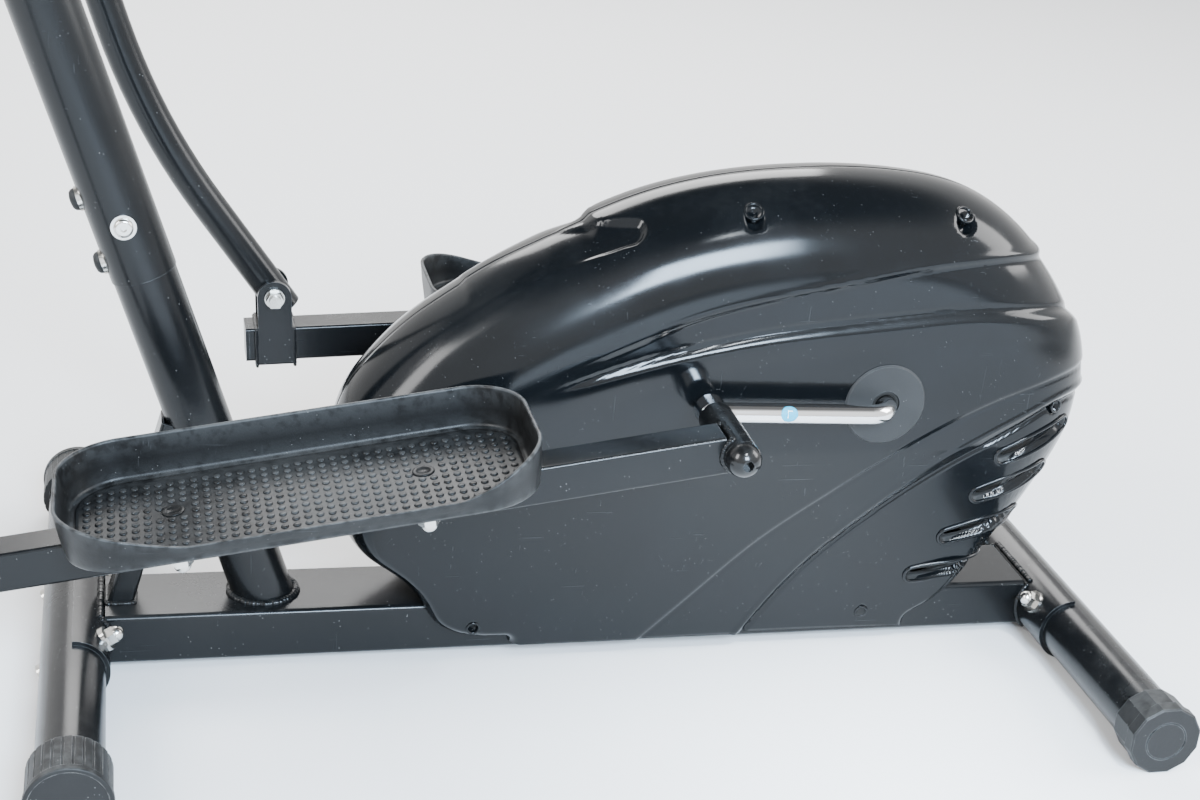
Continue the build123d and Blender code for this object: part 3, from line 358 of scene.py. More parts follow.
def rubbed_edges(tree, place, cloud, normal, width, amount):
    """Wear stored on the points, and wear on the edges where a width is given."""
    rubbed = add(tree, "ShaderNodeAttribute", {"attribute_name": "worn"}).outputs["Fac"]
    if width and amount:
        rounded = add(tree, "ShaderNodeBevel", {"samples": 4}, Radius=width * MM)
        agree = add(tree, "ShaderNodeVectorMath", {"operation": "DOT_PRODUCT"})
        feed(tree, agree.inputs[0], rounded.outputs[0])
        feed(tree, agree.inputs[1], normal)
        rubbed = calc(tree, "MAXIMUM", rubbed, fit(tree, agree.outputs["Value"], 0.80, 0.985, 1.0, 0.0))
    chips = calc(tree, "ADD", noise(tree, place, 130.0, 3.0), calc(tree, "MULTIPLY", cloud, 0.4))
    return calc(tree, "MULTIPLY", rubbed, fit(tree, chips, 0.5, 0.8), amount)


def finish(name, colour, second, rough, metallic=0.0, coat=0.0, grain=(700.0, 0.1), dust=0.25,
           scratches=0.3, wear=0.4, wear_colour=(0.2, 0.21, 0.22, 1), wear_width=0.8, specks=0.3,
           specular=0.24, streak=0.0):
    """Worn surface: two tones, grain, fine scratches, settled dust and rubbed edges."""
    made = bpy.data.materials.new(name)
    made.use_nodes = True
    tree = made.node_tree
    tree.nodes.clear()
    place = add(tree, "ShaderNodeTexCoord").outputs["Object"]
    normal = add(tree, "ShaderNodeNewGeometry").outputs["Normal"]
    cloud = noise(tree, place, 11.0, 4.0, 0.6)
    tone = fit(tree, cloud, 0.38, 0.64)
    marks = scratch_marks(tree, place, scratches)
    film = dust_film(tree, place, cloud, normal, dust)
    rubbed = rubbed_edges(tree, place, cloud, normal, wear_width, wear)

    base = blend_colour(tree, tone, colour, second)
    faint_marks = calc(tree, "MULTIPLY", marks, 0.2)
    specked = speck_mask(tree, place, specks)
    for amount, layer in ((rubbed, wear_colour), (faint_marks, wear_colour), (film, DUST_COLOUR),
                          (specked, SPECK_COLOUR)):
        base = blend_colour(tree, amount, base, layer)

    gloss = rough
    for layer, share in ((tone, 0.05), (marks, 0.12), (film, 0.45), (rubbed, 0.12)):
        gloss = calc(tree, "ADD", gloss, calc(tree, "MULTIPLY", layer, share))
    if streak:
        drawn = noise(tree, stretched(tree, place, (14, 420, 420), (0, 0, 0)), 1.0, 2.0)
        gloss = calc(tree, "ADD", gloss, calc(tree, "MULTIPLY", drawn, streak))

    grain_scale, grain_depth = grain
    relief = noise(tree, place, grain_scale, 2.0)
    relief = calc(tree, "SUBTRACT", relief, calc(tree, "MULTIPLY", marks, 0.25))
    bump = add(tree, "ShaderNodeBump", None, Strength=grain_depth, Distance=GRAIN_RELIEF, Height=relief)
    shader = add(tree, "ShaderNodeBsdfPrincipled", None, Base_Color=base, Roughness=gloss,
                 Metallic=metallic, Normal=bump.outputs[0], Coat_Weight=coat)
    shader.inputs["Coat Roughness"].default_value = COAT_ROUGHNESS
    shader.inputs["Specular IOR Level"].default_value = specular
    out = tree.nodes.new("ShaderNodeOutputMaterial")
    tree.links.new(shader.outputs[0], out.inputs[0])
    return made


BLACK = grey(0.0045, 0.12)
MATERIALS = {
    "frame_black": finish("black_paint", BLACK, grey(0.0056, 0.08), 0.22, grain=(420.0, 0.06),
                          dust=0.05, scratches=0.35, wear=0.4, wear_width=0.8),
    "housing_black": finish("gloss_plastic", grey(0.0032, 0.22), grey(0.0040, 0.22), 0.12,
                            grain=(900.0, 0.02), dust=0.012, scratches=0.4, wear=0.0,
                            specks=0.12, specular=0.25),
    "tray_black": finish("tray_plastic", grey(0.0050, 0.04), grey(0.0062, 0.04), 0.38,
                         grain=(520.0, 0.20), dust=0.06, scratches=0.4, wear=0.26, wear_width=0,
                         wear_colour=(0.18, 0.19, 0.195, 1), specks=0.2, specular=0.2),
    "cap_black": finish("cap_plastic", grey(0.0065, 0.03), grey(0.0085, 0.03), 0.44,
                        grain=(420.0, 0.22), dust=0.16, scratches=0.4, wear=0.45, wear_width=1.0),
    "wheel_plastic": finish("wheel_plastic", grey(0.009, 0.02), grey(0.013, 0.02), 0.48,
                            grain=(400.0, 0.25), dust=0.28, scratches=0.4, wear=0.7, wear_width=0.9,
                            wear_colour=(0.30, 0.30, 0.29, 1)),
    "chrome": finish("chrome", (0.78, 0.79, 0.80, 1), (0.72, 0.73, 0.74, 1), 0.05, metallic=1.0,
                     grain=(300.0, 0.03), dust=0.06, scratches=0.6, wear=0.0,
                     wear_colour=(0.35, 0.35, 0.35, 1), specks=0.2, streak=0.04),
    "fastener": finish("nickel", (0.62, 0.61, 0.58, 1), (0.50, 0.49, 0.46, 1), 0.20, metallic=1.0,
                       grain=(500.0, 0.08), dust=0.15, scratches=0.6, wear=0.5, wear_width=0.5,
                       wear_colour=(0.22, 0.20, 0.17, 1)),
    "foam": finish("grip_foam", grey(0.009), grey(0.013), 0.86, grain=(1500.0, 0.9), dust=0.25,
                   scratches=0.1, wear=0.3, wear_width=0, specks=0.15, specular=0.25),
    "console_plastic": finish("console_plastic", grey(0.013, 0.02), grey(0.017, 0.02), 0.42,
                              grain=(900.0, 0.3), dust=0.15, scratches=0.4, wear=0.35, wear_width=0.7),
    "lens": finish("lens", (0.06, 0.075, 0.06, 1), (0.075, 0.09, 0.07, 1), 0.10, coat=0.6,
                   grain=(900.0, 0.02), dust=0.3, scratches=0.5, wear=0.0),
    "button": finish("button_rubber", (0.16, 0.17, 0.18, 1), (0.20, 0.21, 0.22, 1), 0.55,
                     grain=(900.0, 0.25), dust=0.2, scratches=0.2, wear=0.5, wear_width=0.6),
    "board": finish("circuit_board", (0.01, 0.06, 0.02, 1), (0.015, 0.08, 0.03, 1), 0.45,
                    grain=(600.0, 0.3), wear=0.2, wear_width=0.4),
    "iron": finish("cast_iron", (0.10, 0.10, 0.105, 1), (0.15, 0.15, 0.155, 1), 0.5, metallic=0.9,
                   grain=(260.0, 0.4), wear=0.4, wear_width=0.8, wear_colour=(0.4, 0.4, 0.4, 1)),
    "pulley": finish("pulley_nylon", (0.02, 0.02, 0.022, 1), (0.03, 0.03, 0.033, 1), 0.42,
                     grain=(500.0, 0.2), wear=0.3, wear_width=0.7),
    "belt": finish("belt_rubber", grey(0.012), grey(0.018), 0.7, grain=(700.0, 0.5), wear=0.3,
                   wear_width=0.5),
    "steel": finish("bare_steel", (0.42, 0.42, 0.42, 1), (0.34, 0.34, 0.335, 1), 0.3, metallic=1.0,
                    grain=(300.0, 0.15), wear=0.3, wear_width=0.6, streak=0.1),
    "magnet": finish("magnet", (0.30, 0.30, 0.31, 1), (0.24, 0.24, 0.25, 1), 0.28, metallic=1.0,
                     grain=(500.0, 0.1), wear=0.3, wear_width=0.5),
    "nylon": finish("nylon", (0.55, 0.55, 0.52, 1), (0.48, 0.48, 0.45, 1), 0.45, grain=(600.0, 0.2),
                    wear=0.2, wear_width=0.6),
    "cable": finish("cable_jacket", grey(0.015), grey(0.02), 0.45, grain=(900.0, 0.2), wear=0.2,
                    wear_width=0.3),
}
STICKER_BLUE = finish("sticker_blue", (0.02, 0.33, 0.52, 1), (0.03, 0.38, 0.57, 1), 0.35,
                      grain=(900.0, 0.05), dust=0.1, wear=0.0)
STICKER_WHITE = finish("sticker_white", (0.62, 0.70, 0.72, 1), (0.68, 0.75, 0.77, 1), 0.35,
                       grain=(900.0, 0.05), dust=0.1, wear=0.0)
HOLE_BLACK = finish("hole_black", grey(0.004), grey(0.006), 0.6, grain=(500.0, 0.3), dust=0.3,
                    wear=0.0)
COVER_GREY = finish("cover_plastic", grey(0.016, 0.03), grey(0.020, 0.03), 0.55, grain=(700.0, 0.25),
                    dust=0.12, scratches=0.3, wear=0.3, wear_width=0.8)
CAP_GLOSS = finish("gloss_cap", grey(0.0035, 0.05), grey(0.0045, 0.05), 0.16, grain=(600.0, 0.04),
                   dust=0.08, scratches=0.4, wear=0.2, wear_width=0.7, specular=0.35)
NODE_FINISHES = {"crank_covers": COVER_GREY, "housing_screws": HOLE_BLACK,
                 "pedal_pin_left": CAP_GLOSS, "pedal_pin_right": CAP_GLOSS}


def paint_cad():
    """Gives every CAD node a finish of its own, or the material of its slot."""
    for name, made in frame["nodes"].items():
        for slot in made.material_slots:
            key = slot.material.name.split(".")[0] if slot.material else ""
            if name in NODE_FINISHES:
                slot.material = NODE_FINISHES[name]
            elif key in MATERIALS:
                slot.material = MATERIALS[key]


paint_cad()


# ---- housing

OUTLINE = [(345, 16), (311, 19), (284, 34), (271, 56), (250, 79), (224, 98), (208, 125), (202, 165),
           (208, 222), (236, 265), (261, 290), (293, 314), (337, 343), (367, 359), (398, 374),
           (437, 391), (499, 409), (578, 419), (655, 417), (710, 406), (751, 385), (786, 354),
           (816, 316), (836, 277), (844, 236), (840, 196), (820, 147), (800, 113), (782, 88),
           (763, 62), (739, 34), (716, 17)]
BASE_FRONT, BASE_REAR, BASE_Z = 348, 713, 16
SIDE_HALF, FOOT_HALF, FULL_WIDTH_Z = 73, 45, 200
HOOD_ROUND = 80
SEAM_GAP = 0.35
SHELL_THICKNESS = 2.4
PULL_IN = 0.38
EDGE_OUT, EDGE_IN = 2.1, 2.05
MIDDLE_X = 420
LINE_STEPS = 220
NEAR_POINTS = 10
LOOP_POINTS = 96
COLUMNS, ROUND_ROWS, FLAT_ROWS, INNER_ROWS = 470, 52, 118, 22

HOOD_EDGE = [(331, 255), (377, 275), (415, 290), (461, 310), (508, 325), (556, 336), (605, 346),
             (655, 356), (708, 361), (749, 360), (792, 352)]
LEDGE = [(343, 245), (401, 266), (480, 289), (560, 303), (643, 312), (712, 318), (768, 316),
         (809, 307), (840, 288)]
CREASE = [(459, 12), (509, 67), (554, 115), (600, 153), (646, 188), (693, 218), (742, 243),
          (776, 256), (803, 262), (841, 262)]
CHANNEL = [(549, 12), (591, 79), (636, 128), (679, 166), (717, 194), (760, 220), (804, 240), (846, 238)]
VENTS = [((757, 190), (812, 213)), ((743, 152), (800, 171)), ((723, 110), (784, 127)),
         ((700, 71), (760, 80))]
VENT_HALF, VENT_DEPTH, VENT_RIM_R = 7.4, 6.5, 1.7
VENT_POCKET = [(0.6, 0.2), (1.8, 1.6), (2.6, 3.4), (3.6, 4.3), (5.0, 4.5), (6.6, 4.4)]
SCREW_HOLES = [(519, 391, 6.5), (697, 389, 6.5), (799, 232, 5.0), (660, 33, 4.6), (318, 36, 4.6)]
SCREW_DEPTH = 7.0
DRIP_X = 302
CROWN_X = 398
HOOD_STEP, HOOD_LIP = 3.4, 0.9
LEDGE_SWELL, LEDGE_GROOVE = 0.9, 1.2
CREASE_STEP, CREASE_GROOVE = 1.5, 1.1
CHANNEL_STEP, CHANNEL_GROOVE, CHANNEL_LIP = 3.2, 1.8, 1.0
SCOOP_DEPTH, CROWN_RISE, DRIP_RISE = 4.2, 3.4, 1.8


def edge_radius(x, z):
    """How far from the outline the side has curved to its full width."""
    front = 15 + (HOOD_ROUND - 15) * ease(z, 60, 235)
    rear = 20 + (HOOD_ROUND - 20) * ease(z, 25, 200)
    return np.where(x < MIDDLE_X, front, rear)


def side_width(z):
    return FOOT_HALF + (SIDE_HALF - FOOT_HALF) * np.clip(z / FULL_WIDTH_Z, 0, 1)


def housing_grid():
    """Smooth surface of one half, as x and z and a half width, from the seam down to the base."""
    rim = spline(OUTLINE, COLUMNS)
    along = unit(np.gradient(rim, axis=0))
    inward = np.stack([along[:, 1], -along[:, 0]], axis=1)
    base = np.stack([np.linspace(BASE_FRONT, BASE_REAR, COLUMNS), np.full(COLUMNS, float(BASE_Z))], axis=1)
    length = np.linalg.norm(base - rim, axis=1)
    radius = edge_radius(rim[:, 0], rim[:, 1])
    control = rim + inward * (PULL_IN * length)[:, None]
    share = np.minimum(radius / (2 * PULL_IN * length + 1e-6), 0.5)
    rows = [share * (1 - math.cos(angle)) for angle in np.linspace(0, math.pi / 2, ROUND_ROWS)]
    rows += [share + (1 - share) * step for step in np.linspace(0, 1, FLAT_ROWS + 1)[1:]]
    s = np.array(rows)[:, :, None]
    flat = (1 - s)**2 * rim + 2 * s * (1 - s) * control + s * s * base
    near, gap = nearest(flat.reshape(-1, 2), rim)
    x, z = flat[:, :, 0], flat[:, :, 1]
    part = np.clip(gap / radius[near], 0, 1).reshape(x.shape)
    return x, z, side_width(z) * (1 - (1 - part)**EDGE_OUT)**(1 / EDGE_IN)


def grid_normals(x, y, z):
    """Unit normals of a grid surface."""
    across = np.stack([np.gradient(v, axis=1) for v in (x, y, z)], axis=2)
    down = np.stack([np.gradient(v, axis=0) for v in (x, y, z)], axis=2)
    normal = np.cross(across, down)
    normal /= np.linalg.norm(normal, axis=2)[:, :, None] + 1e-12
    return normal


def vent_relief(x, z):
    """How far the vents' blind slots sink below the smooth surface."""
    relief = np.zeros(x.shape)
    for start, end in VENTS:
        away = segment_distance(x, z, start, end)
        relief -= VENT_DEPTH * (1 - ease(away, VENT_HALF - 3.0, VENT_HALF + 0.4))
    return relief


def surface_point(surface, x, z):
    """Point of the right half of the housing at an x and z, with its outward way."""
    grid_x, half, grid_z, normal = surface
    away = np.hypot(grid_x - x, grid_z - z).ravel()
    near = np.argpartition(away, NEAR_POINTS)[:NEAR_POINTS]
    share = 1 / (away[near] + 0.4)**2
    share /= share.sum()
    ways = normal.reshape(-1, 3)[near]
    lift = ways[:, 0] * (x - grid_x.ravel()[near]) + ways[:, 2] * (z - grid_z.ravel()[near])
    height = half.ravel()[near] - lift / np.maximum(ways[:, 1], 0.2)
    way = share @ ways
    return np.array([x, share @ height, z]), way / np.linalg.norm(way)


def vent_loop(surface, way, start, end, inset, lift):
    """Points round a slot on the housing, drawn in by an inset and lifted off the surface."""
    a, b = np.array(start, float), np.array(end, float)
    along = (b - a) / np.linalg.norm(b - a)
    aside = np.array([-along[1], along[0]])
    path = []
    for centre, sign in ((b, 1), (a, -1)):
        for angle in np.linspace(-math.pi / 2, math.pi / 2, 9):
            out = math.cos(angle) * along + math.sin(angle) * aside
            point, facing = surface_point(surface, *(centre + sign * (VENT_HALF - inset) * out))
            path.append((point + facing * lift) * (1, way, 1) + (0, way * SEAM_GAP, 0))
    return spline(path, LOOP_POINTS, closed=True)


def vents(side, way, surface):
    """A rounded rim and a smooth blind pocket at each slot of one housing half."""
    for number, (start, end) in enumerate(VENTS):
        path = vent_loop(surface, way, start, end, 0, 0.1)
        points, faces = swept(path, [VENT_RIM_R] * len(path), closed=True)
        piece(f"vent_rim_{number}_{side}", points, faces, "frame", "housing_black")
        loops = [vent_loop(surface, way, start, end, inset, -depth) for inset, depth in VENT_POCKET]
        count = len(loops[0])
        faces = grid_faces(len(loops), count, wrap=True, flip=way < 0)
        faces.append(cap(len(loops) - 1, count))
        piece(f"vent_pocket_{number}_{side}", np.vstack(loops), faces, "frame", "housing_black",
              HOLE_BLACK)


def scoop_relief(x, half, z):
    """Shallow scoop beside the seam, where the crown of the hood begins."""
    top = ease(z, 330, 345)
    centre = np.interp(x, (370, 428), (20, 37))
    reach = np.interp(x, (370, 428), (21, 9.5))
    inside = reach - np.hypot(half - centre, np.maximum(x - 426, 0))
    scoop = -SCOOP_DEPTH * ease(inside, -0.8, 3.0) * ease(x, 362, 408) * top
    crown = CROWN_RISE * ease(x, CROWN_X - 5, CROWN_X + 5) * (1 - ease(x, CROWN_X + 20, CROWN_X + 190))
    crown *= (1 - ease(half, 18, 34)) * top
    drip = DRIP_RISE * ease(x, DRIP_X - 3, DRIP_X + 4) * (1 - ease(x, DRIP_X + 10, DRIP_X + 60))
    drip *= (1 - ease(half, 10, 30)) * ease(z, 250, 280)
    return scoop + crown + drip


def ridge(distance, flat, reach):
    """1 within a distance of a line, falling to 0 at its reach."""
    return 1 - ease(np.abs(distance), flat, reach)


def housing_relief(x, half, z):
    """How far the detail stands out from the smooth surface."""
    hood, ledge, crease, channel = (signed_distance(spline(line, LINE_STEPS), x, z)
                                    for line in (HOOD_EDGE, LEDGE, CREASE, CHANNEL))
    fade = ease(x, 350, 500)
    spread = np.interp(x, (340, 480, 640, 770, 840), (3.6, 4.2, 5.4, 4.6, 3.8))
    below_ledge = 1 - ease(ledge / spread, -1.0, 1.0)
    relief = -HOOD_STEP * fade * (1 - ease(hood, -2.3, 2.3)) * (1 - below_ledge)
    relief += LEDGE_SWELL * ease(x, 350, 430) * below_ledge * (1 - ease(-ledge, 4, 26))
    relief -= LEDGE_GROOVE * ease(x, 345, 420) * ridge(ledge - spread, 0.5, 3.2)
    relief += HOOD_LIP * fade * ridge(hood - 2.5, 0.5, 5.0) * ease(hood, -1.2, 0.8)
    relief -= CREASE_STEP * (1 - ease(crease, -2.2, 2.2))
    relief -= CREASE_GROOVE * ridge(crease, 0.5, 3.2)
    width = np.interp(z, (16, 120, 200, 250), (3.4, 4.4, 5.0, 4.0))
    relief -= CHANNEL_STEP * (1 - ease(channel / width, -1.0, 1.0))
    relief -= CHANNEL_GROOVE * ridge(channel + width, 0.6, 3.4)
    relief += CHANNEL_LIP * ridge(channel - width - 1, 0.4, 3.6)
    relief += scoop_relief(x, half, z)
    for hole_x, hole_z, radius in SCREW_HOLES:
        relief -= SCREW_DEPTH * ridge(np.hypot(x - hole_x, z - hole_z), radius * 0.75, radius * 1.15)
    return relief


def in_beam(points, faces):
    """Faces not hidden inside the beam."""
    high = local(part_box("main_beam")[1])
    hidden = (np.abs(points[:, 1]) < high[1] - 1.5) & (points[:, 2] < high[2] - 1)
    return [face for face in faces if not hidden[list(face)].all()]


def shell(side, way, surface):
    """One half of the housing: outer skin, edge and inner skin."""
    x, half, z, normal = surface
    y = way * (half + SEAM_GAP)
    outer = np.stack([x, y, z], axis=2)
    facing = normal * (1, way, 1)
    rows, columns = x.shape
    pick = np.unique(np.linspace(0, rows - 1, INNER_ROWS).astype(int))
    inner = outer[pick] - facing[pick] * SHELL_THICKNESS
    inner[:, :, 1] = way * np.maximum(way * inner[:, :, 1], SEAM_GAP)
    points = np.vstack([outer.reshape(-1, 3), inner.reshape(-1, 3)])
    flip = way > 0
    faces = grid_faces(rows, columns, flip=not flip)
    first = rows * columns
    faces += grid_faces(len(pick), columns, first=first, flip=flip)
    last_outer, last_inner = (rows - 1) * columns, first + (len(pick) - 1) * columns
    for j in range(columns - 1):
        top = (j, j + 1, first + j + 1, first + j)
        bottom = (last_outer + j + 1, last_outer + j, last_inner + j, last_inner + j + 1)
        faces.append(top if not flip else top[::-1])
        faces.append(bottom if not flip else bottom[::-1])
    made = piece(f"housing_shell_{side}", points, in_beam(points, faces), "frame", "housing_black")
    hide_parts(f"housing_{side}")


def housing_surface():
    x, z, half = housing_grid()
    normal = grid_normals(x, half, z)
    if normal[ROUND_ROWS, COLUMNS // 2, 1] < 0:
        normal = -normal
    normal[0] = normal[0] * (1, 0, 1)
    normal[0] /= np.linalg.norm(normal[0], axis=1)[:, None]
    smooth = np.stack([x, half, z], axis=2)
    skins = []
    for relief in (housing_relief(x, half, z), vent_relief(x, z)):
        smooth = smooth + normal * relief[:, :, None]
        smooth[:, :, 1] = np.maximum(smooth[:, :, 1], 0)
        skins.append((smooth[:, :, 0], smooth[:, :, 1], smooth[:, :, 2], normal))
    return skins


def screw_cup(name, side, way, surface, hole_x, hole_z, radius):
    """Recessed screw hole: a rounded rim, a dark well and the screw's head at its foot."""
    x, half, z, normal = surface
    away = np.hypot(x - hole_x, z - hole_z)
    i, j = np.unravel_index(away.argmin(), away.shape)
    facing = normal[i, j] * (1, way, 1)
    origin = np.array([x[i, j], way * (half[i, j] + SEAM_GAP), z[i, j]]) + facing * SCREW_DEPTH
    rim = radius + 1.5
    well = [(rim, -1.2), (rim, 0.1), (rim - 0.5, 0.55), (radius + 0.1, 0.6), (radius - 0.5, 0.2),
            (radius - 0.7, -0.6), (radius - 0.9, -9), (radius + 0.3, -9.6), (rim, -1.2)]
    floor = [(0.05, -9.2), (radius - 0.3, -9.2), (radius - 0.3, -9.8), (0.05, -9.8)]
    points, faces = join([lathe(well, origin, facing, 36), lathe(floor, origin, facing, 36)])
    piece(f"{name}_well_{side}", points, faces, "frame", "housing_black")
    head = [(0.05, -9.2), (2.6, -9.2), (3.3, -8.6), (3.1, -7.6), (2.0, -7.0), (1.0, -6.9), (0.9, -8.2),
            (0.05, -8.3)]
    turned(f"{name}_screw_{side}", head, origin, facing, 24, "frame", "fastener", HOLE_BLACK)


def crank_gap_shade(side, way):
    """Dark ring of painted shade, standing in for the shaded gap round the crank inside its cover."""
    high = local(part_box("crank_covers")[1])
    profile = [(8.6, 0.0), (12.2, 0.0), (12.2, 2.0), (8.6, 2.0), (8.6, 0.0)]
    origin = (CRANK[0], way * (high[1] - 2.6), CRANK[2])
    # A near-black ring of painted shade, where the real gap is only in shadow.
    turned(f"crank_gap_shade_{side}", profile, origin, (0, way, 0), 40, "frame", "housing_black",
           HOLE_BLACK)


def build_housing():
    plain, surface = housing_surface()
    for side, way in SIDES.items():
        shell(side, way, surface)
        vents(side, way, plain)
        # Painted shade: a dark ring in the gap round the crank.
        crank_gap_shade(side, way)
        for number, (hole_x, hole_z, radius) in enumerate(SCREW_HOLES):
            screw_cup(f"housing_hole_{number}", side, way, surface, hole_x, hole_z, radius)


# ---- foot trays

ARM_REACH, CLEVIS_RISE, ARM_HALF = 625.5, 44.0, 15.0
TRAY_NEAR, TRAY_FAR, TRAY_IN, TRAY_OUT, TRAY_CORNER = -151.0, -494.0, 88.0, 232.0, 46.0
TRAY_FLOOR, TRAY_WALL, TRAY_LIP = 5.0, 32.0, 9.0
TRAY_TOP = ARM_HALF + TRAY_FLOOR
TRAY_UNDER = TRAY_TOP - 4
TRAY_MIDDLE_X = (TRAY_NEAR + TRAY_FAR) / 2
PLAN_POINTS = 300
NEAR_RAMP, FAR_RAMP, RAMP_TOP = 66, 88, 2
TRAY_BOLTS = (-235.0, -415.0)
PIP_MARGIN = 15.5
PIP_STEP_X, PIP_STEP_Y = 8.5, 9.5
PIP_SIDES = 10
BOLT_CLEAR = 10.5
COVER_SIDES = 36
ARM_Y = abs(joint_place("pedal_left")[1]) or 157.0


def arm_frame(side):
    """The pedal arm's own axes at rest: its pin, its rearward way and its upward way."""
    pin = local(middle(f"pedal_pin_{side}"))
    foot = joint_place(f"pedal_{side}")
    world = math.atan2(foot[2] - pin[2], foot[0] - pin[0])
    pitch = world - math.atan2(CLEVIS_RISE, -ARM_REACH)
    rear = np.array([math.cos(pitch), 0, math.sin(pitch)])
    up = np.array([-math.sin(pitch), 0, math.cos(pitch)])
    return np.array([pin[0], 0, pin[2]]), rear, up


def on_arm(side, points):
    """Points in the pedal arm's frame, as points of the machine."""
    origin, rear, up = arm_frame(side)
    p = np.asarray(points, float).reshape(-1, 3)
    return origin + np.outer(p[:, 0], rear) + np.outer(p[:, 1], (0, 1, 0)) + np.outer(p[:, 2], up)


def rounded_plan(length, width, corner, count):
    """Evenly spaced points round a rounded rectangle, with their outward ways."""
    a, b = length / 2 - corner, width / 2 - corner
    quarter = corner * math.pi / 2
    starts = np.cumsum([0] + [2 * b, quarter, 2 * a, quarter] * 2)
    centres = np.array([(a, b), (-a, b), (-a, -b), (a, -b)])
    points, ways = [], []
    for at in np.linspace(0, starts[-1], count, endpoint=False):
        k = int(np.searchsorted(starts, at, "right") - 1)
        number, on_corner, into = k // 2, k % 2, at - starts[k]
        turn = math.pi / 2 * number + (into / corner if on_corner else 0)
        way = np.array([math.cos(turn), math.sin(turn)])
        if on_corner:
            points.append(centres[number] + way * corner)
        else:
            points.append(centres[number - 1] + way * corner + np.array([-way[1], way[0]]) * into)
        ways.append(way)
    return np.array(points), np.array(ways)


def ramp(gap, reach):
    """1 at a tray's end wall, falling to 0 at the reach, partly straight and partly eased."""
    part = np.clip((reach - gap) / (reach - RAMP_TOP), 0, 1)
    return 0.6 * part + 0.4 * ease(part, 0, 1)


def tray_height(x, outward):
    """Height of the tray's wall above its floor: a low lip on the outer side, between two ramps."""
    ends = np.maximum(ramp(TRAY_NEAR - x, NEAR_RAMP), ramp(x - TRAY_FAR, FAR_RAMP))
    return TRAY_WALL - (TRAY_WALL - TRAY_LIP) * ease(outward, 20, 44) * (1 - ends)


def tray_body(way):
    """Walls, rolled rim and floor of a foot tray, in the arm's frame, with the wear of each point."""
    length, width = TRAY_NEAR - TRAY_FAR, TRAY_OUT - TRAY_IN
    centre = np.array([TRAY_MIDDLE_X, (TRAY_OUT + TRAY_IN) / 2])
    plan, ways = rounded_plan(length, width, TRAY_CORNER, PLAN_POINTS)
    x = centre[0] + plan[:, 0]
    height = tray_height(x, plan[:, 1])
    floor, low = TRAY_TOP, TRAY_UNDER
    full = floor + height
    draft = 3.4
    steps = [(draft + 26, low, 0, 0), (draft + 2.2, low, 0, 0.1), (draft + 0.7, low + 0.6, 0, 0.6),
             (draft, low + 2.2, 0, 0.3), (draft * 0.9, low + 5, 0, 0.1), (draft * 0.45, 0.5, 1, 0.0),
             (0.25, 0.94, 1, 0.2), (0.0, 0.985, 1, 0.9), (0.5, 1.0, 1, 1.0), (1.6, 1.004, 1, 1.0),
             (2.6, 0.995, 1, 0.9), (3.0, 0.95, 1, 0.3), (3.2 + draft * 0.4, 0.5, 1, 0.0),
             (3.4 + draft * 0.6, floor + 3.0, 0, 0.15), (3.9 + draft * 0.6, floor + 0.9, 0, 0.2),
             (4.8 + draft * 0.8, floor + 0.1, 0, 0.35), (5.6 + draft, floor, 0, 0.3),
             (6.2 + draft, floor - 0.8, 0, 0), (7.2 + draft, floor - 0.8, 0, 0),
             (7.8 + draft, floor, 0, 0.4), (10.0 + draft, floor, 0, 0.2)]
    points, wear = [], []
    for inset, level, relative, rubbed in steps:
        z = low + (full - low) * level if relative else np.full(len(x), float(level))
        z = np.maximum(z, low) if relative else z
        spot = centre + plan - ways * inset
        points.append(np.stack([spot[:, 0], way * spot[:, 1], z], axis=1))
        wear.append(np.full(len(x), rubbed))
    faces = grid_faces(len(steps), len(x), wrap=True, flip=way < 0)
    under, over = cap(0, len(x)), cap(len(steps) - 1, len(x))
    faces += [under[::-1], over] if way > 0 else [under, over[::-1]]
    return np.vstack(points), faces, np.concatenate(wear), (centre, plan, ways)


def pip(x, y, z):
    """Low round stud on the tray's floor."""
    rings = [(3.0, -0.3), (2.9, 0.45), (2.5, 0.95), (1.7, 1.2)]
    points = [circle((x, y, z + height), (radius, 0, 0), (0, radius, 0), PIP_SIDES)
              for radius, height in rings]
    faces = grid_faces(len(rings), PIP_SIDES, wrap=True)
    faces.append(cap(len(rings) - 1, PIP_SIDES))
    return np.vstack(points), faces


def pip_places(plan_data):
    """Stud centres inside the groove, clear of the bolt covers."""
    centre, plan, ways = plan_data
    edge = plan - ways * PIP_MARGIN
    count_x = int((TRAY_NEAR - TRAY_FAR) / PIP_STEP_X / 2)
    count_y = int((TRAY_OUT - TRAY_IN) / PIP_STEP_Y / 2)
    places = []
    for i in range(-count_x, count_x + 1):
        for j in range(-count_y, count_y + 1):
            spot = np.array([i * PIP_STEP_X, j * PIP_STEP_Y])
            near = ((edge - spot)**2).sum(1).argmin()
            if np.dot(edge[near] - spot, ways[near]) < 0:
                continue
            x, y = centre + spot
            if min(math.hypot(x - bolt, y - ARM_Y) for bolt in TRAY_BOLTS) < BOLT_CLEAR:
                continue
            places.append((x, y))
    return places


